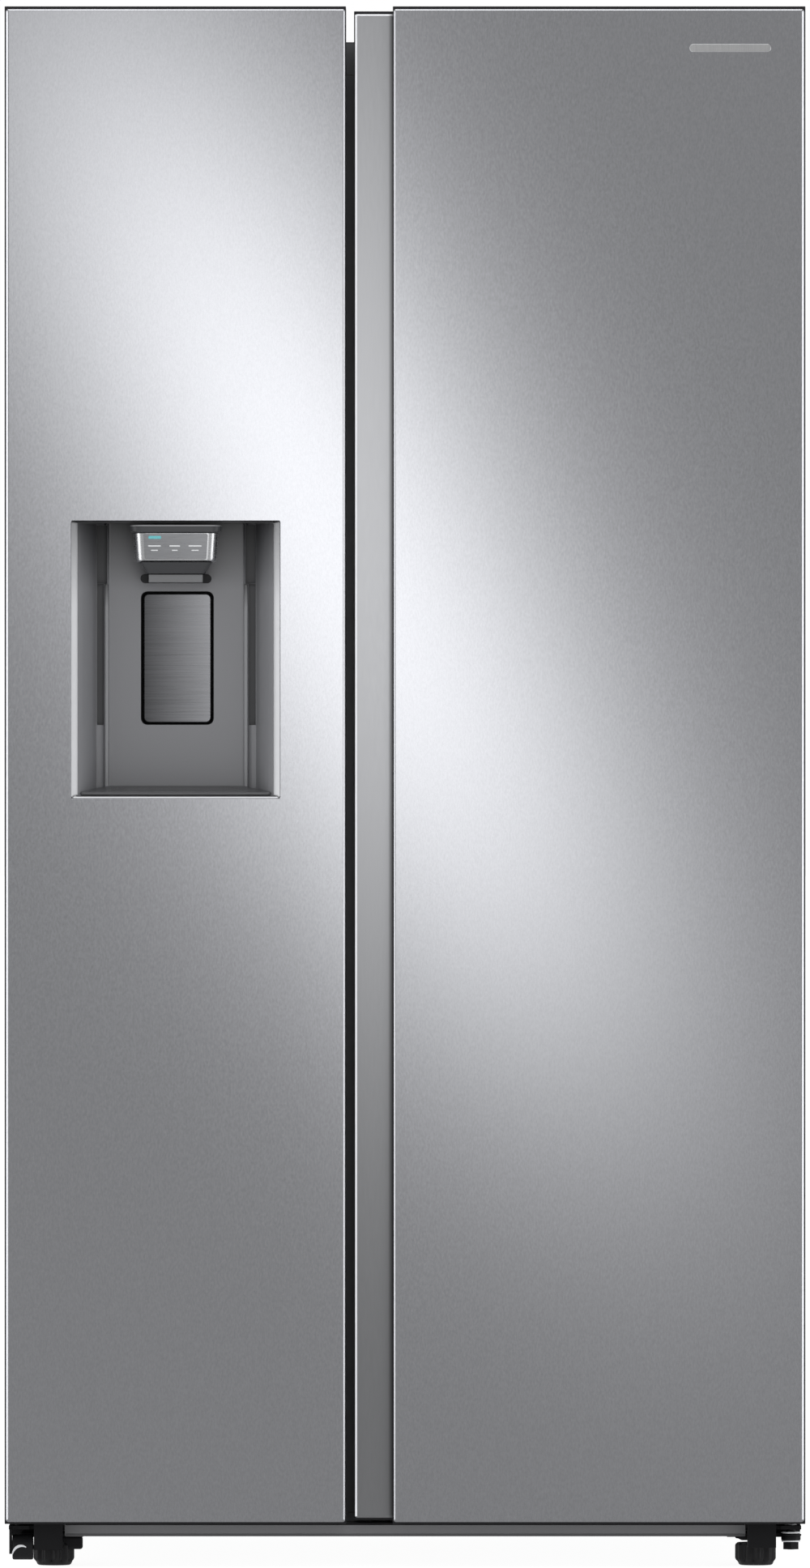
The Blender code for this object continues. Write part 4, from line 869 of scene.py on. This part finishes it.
def rollers():
    """The three transport rollers, each a tyre on a hub."""
    for node in ("roller_front_left", "roller_rear_left", "roller_rear_right"):
        low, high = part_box(node)
        centre = (low + high) / 2
        half = (high.x - low.x) / 2
        radius = (high.z - low.z) / 2
        bore, land = radius * TYRE_BORE, radius * TYRE_LAND
        tyre = ((bore, -half + 0.0012), (land, -half), (radius - 0.0016, -half),
                (radius - 0.0004, -half + 0.0006), (radius, -half + 0.0020),
                (radius, half - 0.0020), (radius - 0.0004, half - 0.0006), (radius - 0.0016, half),
                (land, half), (bore, half - 0.0012))
        work = turned(bmesh.new(), tyre, centre, "X")
        finished(node + "_tyre", work, TYRE, node, "roller_black", node)
        end = half + 0.0002
        shoulder = half - 0.0016
        rim, boss = radius * HUB_RIM, radius * HUB_END
        hub = ((0.0032, -end), (boss, -end), (rim, -shoulder), (rim, shoulder), (boss, end),
               (0.0032, end))
        work = turned(bmesh.new(), hub, centre, "X", steps=HUB_STEPS)
        finished(node + "_hub", work, ZINC, node, "roller_black")


def hinge_parts():
    """The right hinge's washers and bush, a pale arc painted as the left roller's highlight, and
    two bits of the brackets.
    """
    work = bmesh.new()
    bevel = 0.0003
    for bottom, top, radius in WASHERS:
        shape = ((AXIS_GAP, bottom), (radius - bevel, bottom), (radius, bottom + bevel),
                 (radius, top - bevel), (radius - bevel, top), (AXIS_GAP, top))
        turned(work, shape, HINGE_PIN, "Z", steps=PIN_STEPS)
    finished("hinge_washers_right", work, PALE_TRIM_AND_HIGHLIGHT, "cabinet", "zinc_sheet")
    work = turned(bmesh.new(), BUSH, HINGE_PIN, "Z", steps=PIN_STEPS)
    finished("hinge_bush_right", work, BLACK_METAL, "cabinet", "black_metal")

    # painted highlight: a thin pale arc in front of the left roller
    low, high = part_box("roller_front_left")
    middle = Vector(((low.x + high.x) / 2 - 0.0014, low.y - 0.0006, 0.0133))
    near = Vector((0.0, 0.0004, 0.0))
    rings = []
    for step in range(HIGHLIGHT_ARC_POINTS):
        turn = math.radians(HIGHLIGHT_ARC_START - step * HIGHLIGHT_ARC_STEP)
        along = Vector((math.cos(turn) * 0.92, 0.0, math.sin(turn)))
        thick = 0.0013 * math.sin(math.pi * (step + 1) / (HIGHLIGHT_ARC_POINTS + 1)) + 0.0002
        inner = middle + along * (HIGHLIGHT_ARC_RADIUS - thick)
        outer = middle + along * (HIGHLIGHT_ARC_RADIUS + thick)
        rings.append([inner, outer, outer + near, inner + near])
    work = skin(bmesh.new(), rings)
    finished("roller_highlight_arc_left", work, PALE_TRIM_AND_HIGHLIGHT, "cabinet", "zinc_sheet")

    work = block(bmesh.new(), (-0.3960, -0.3470, 0.0185), (-0.3695, -0.3400, 0.0335), 0.0030, 3)
    finished("bracket_stop_left", work, BLACK_METAL, "cabinet", "black_metal")
    work = skin(bmesh.new(), [[(x, y, z) for x, z in WEB] for y in (-0.3550, -0.3480)])
    finished("bracket_web_right", work, BLACK_METAL, "cabinet", "black_metal")


# Inside

SHELVES = ("freezer_shelf_lower", "freezer_shelf_upper", "fridge_shelf_lower",
           "fridge_shelf_middle", "fridge_shelf_upper")
CLEAR_NODES = ("freezer_drawer_lower", "freezer_drawer_upper", "crisper_drawer_lower",
               "crisper_drawer_upper", "ice_bucket", "freezer_bin_lower", "freezer_bin_upper",
               "fridge_bin_lower", "fridge_bin_middle", "fridge_bin_upper")
# CAD nodes of the doors' insides: edge rounding, look, slot
DOOR_NODES = (("freezer_door_liner", 0.0009, WHITE, "liner_white"),
              ("fridge_door_liner", 0.0009, WHITE, "liner_white"),
              ("freezer_gasket", 0.0022, GASKET, "gasket_grey"),
              ("fridge_gasket", 0.0022, GASKET, "gasket_grey"),
              ("ice_maker", 0.0, WHITE, "liner_white"))


def interior():
    """Glass shelves with trims, clear drawers and bins, the doors' inner panels and seals."""
    for node in SHELVES:
        low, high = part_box(node)
        top = high.z - 0.004
        pane = block(bmesh.new(), (low.x, low.y + 0.009, top - 0.006),
                     (high.x, high.y - 0.008, top), 0.0008)
        finished(node + "_pane", pane, GLASS, "cabinet", "shelf_glass", node)
        trim = block(bmesh.new(), (low.x, low.y, low.z), (high.x, low.y + 0.010, high.z), 0.0025, 3)
        block(trim, (low.x, high.y - 0.009, top - 0.0065), (high.x, high.y, top + 0.002), 0.0015)
        finish = CHROME if node.startswith("fridge") else WHITE
        finished(node + "_trims", trim, finish, "cabinet", "shelf_glass")
    for node in CLEAR_NODES:
        softened(node, 0.0010, CLEAR, "clear_plastic")
    for row in DOOR_NODES:
        softened(*row)


# Studio

ROOM = 0.33                 # the pale room's strength in reflections
ROOM_DIFFUSE = 0.55         # what it gains where it lights a matt surface
FLOOR_GLOW = 0.93
FLOOR_REACH = 150.0
TARGET = (0.0, -0.1, 0.9)
# soft lights: place, size, radiance
LIGHTS = (("side_left", (-2.6, -0.9, 1.0), (1.3, 2.4), 1.5),
          ("side_right", (2.6, -0.9, 1.0), (1.3, 2.4), 1.5),
          ("overhead", (0.0, -0.5, 3.6), (2.6, 1.5), 1.7),
          ("rear", (-1.2, 3.2, 2.4), (2.0, 2.0), 0.9))
EYE_DISTANCE = 20.0
EYE_HEIGHT = 0.89604
PICTURE_HEIGHT = 1.7908
# the card's light: its middle, how it leans from the upright, its half widths and its fall
CARD_DISTANCE = 1.0
CARD_GLOW = 1.66
CARD_HEIGHT = 1.209
CARD_MIDDLE = -0.097
CARD_LEAN = -0.433
CARD_ACROSS = 0.160
CARD_ALONG = 0.62
CARD_FALL = 2.67


def soft_light(name, place, size, radiance):
    """A rectangular area light that the camera doesn't see, set by the radiance of its face."""
    data = bpy.data.lights.new(name, "AREA")
    data.shape = "RECTANGLE"
    data.size, data.size_y = size
    data.energy = radiance * math.pi * size[0] * size[1]
    made = bpy.data.objects.new(name, data)
    bpy.context.scene.collection.objects.link(made)
    made.location = place
    made.rotation_euler = (Vector(TARGET) - Vector(place)).to_track_quat("-Z", "Y").to_euler()
    made.visible_camera = False


def glow_card():
    """A soft light in front of the doors, brightest along a line from upper left to lower right."""
    near = FRONT - CARD_DISTANCE
    work = box_shape((-1.6, near - 0.001, -0.9), (1.6, near, 3.0))
    mesh = bpy.data.meshes.new("glow_card")
    work.to_mesh(mesh)
    work.free()
    card = bpy.data.objects.new("glow_card", mesh)
    bpy.context.scene.collection.objects.link(card)
    made = bpy.data.materials.new("glow_card")
    made.use_nodes = True
    tree = made.node_tree
    tree.nodes.clear()
    place = tree.nodes.new("ShaderNodeTexCoord")
    parts = tree.nodes.new("ShaderNodeSeparateXYZ")
    tree.links.new(place.outputs["Object"], parts.inputs["Vector"])

    def maths(operation, *terms):
        node = tree.nodes.new("ShaderNodeMath")
        node.operation = operation
        for socket, value in zip(node.inputs, terms):
            if isinstance(value, (int, float)):
                socket.default_value = value
            else:
                tree.links.new(value, socket)
        return node.outputs[0]

    along = maths("SUBTRACT", parts.outputs["Z"], CARD_HEIGHT)
    ridge = maths("ADD", maths("MULTIPLY", along, CARD_LEAN), CARD_MIDDLE)
    across = maths("DIVIDE", maths("SUBTRACT", parts.outputs["X"], ridge), CARD_ACROSS)
    narrow = maths("MULTIPLY", maths("MULTIPLY", across, across), 0.5)
    tall = maths("POWER", maths("ABSOLUTE", maths("DIVIDE", along, CARD_ALONG)), CARD_FALL)
    fall = maths("EXPONENT", maths("MULTIPLY", maths("ADD", narrow, tall), -1.0))
    glow = tree.nodes.new("ShaderNodeEmission")
    tree.links.new(maths("MULTIPLY", fall, CARD_GLOW / 2), glow.inputs["Strength"])
    clear = tree.nodes.new("ShaderNodeBsdfTransparent")
    both = tree.nodes.new("ShaderNodeAddShader")
    out = tree.nodes.new("ShaderNodeOutputMaterial")
    tree.links.new(glow.outputs[0], both.inputs[0])
    tree.links.new(clear.outputs[0], both.inputs[1])
    tree.links.new(both.outputs[0], out.inputs["Surface"])
    card.data.materials.append(made)
    card.visible_camera = False
    card.visible_shadow = False


def pale_room():
    """A white world that is dimmer in reflections than to the camera."""
    world = bpy.data.worlds.new("pale_room")
    world.use_nodes = True
    bpy.context.scene.world = world
    tree = world.node_tree
    background = tree.nodes["Background"]
    rays = tree.nodes.new("ShaderNodeLightPath")
    diffuse = tree.nodes.new("ShaderNodeMath")
    diffuse.operation = "MULTIPLY_ADD"
    diffuse.inputs[1].default_value = ROOM_DIFFUSE
    tree.links.new(rays.outputs["Is Diffuse Ray"], diffuse.inputs[0])
    seen = ranged(tree, rays.outputs["Is Camera Ray"], 0.0, 1.0, ROOM, 1.0)
    tree.links.new(seen, diffuse.inputs[2])
    tree.links.new(diffuse.outputs[0], background.inputs["Strength"])
    background.inputs["Color"].default_value = (1.0, 1.0, 1.0, 1.0)


def pale_floor():
    """A plain white floor that shows only soft shadows."""
    mesh = bpy.data.meshes.new("floor")
    near, far = -FLOOR_REACH, FLOOR_REACH
    points = [(near, near, 0), (far, near, 0), (far, far, 0), (near, far, 0)]
    mesh.from_pydata(points, [], [(0, 1, 2, 3)])
    floor = bpy.data.objects.new("floor", mesh)
    bpy.context.scene.collection.objects.link(floor)
    paper = look("pale_floor", (0.24, 0.24, 0.24), 0.9, 0.0, (3, 3, 3), 0.01, 0.05, shine=0.0)
    shader = paper.node_tree.nodes["Principled BSDF"]
    shader.inputs["Emission Color"].default_value = (1.0, 1.0, 1.0, 1.0)
    shader.inputs["Emission Strength"].default_value = FLOOR_GLOW
    mesh.materials.append(paper)
    floor.visible_glossy = False


def studio():
    """The room, floor, lights and camera."""
    scene = bpy.context.scene
    scene.view_settings.view_transform = "Standard"
    pale_room()
    pale_floor()
    for row in LIGHTS:
        soft_light(*row)
    glow_card()

    camera = bpy.data.cameras.new("camera")
    view = bpy.data.objects.new("camera", camera)
    scene.collection.objects.link(view)
    camera.lens = camera.sensor_width * EYE_DISTANCE / PICTURE_HEIGHT
    camera.clip_end = 500.0
    view.location = (0.0, FRONT - EYE_DISTANCE, EYE_HEIGHT)
    view.rotation_euler = (math.pi / 2, 0.0, 0.0)
    scene.camera = view


doors()
grip_strip()
recess()
drip_tray()
nose()
lever_and_marks()
cabinet()
feet()
rollers()
hinge_parts()
interior()
studio()
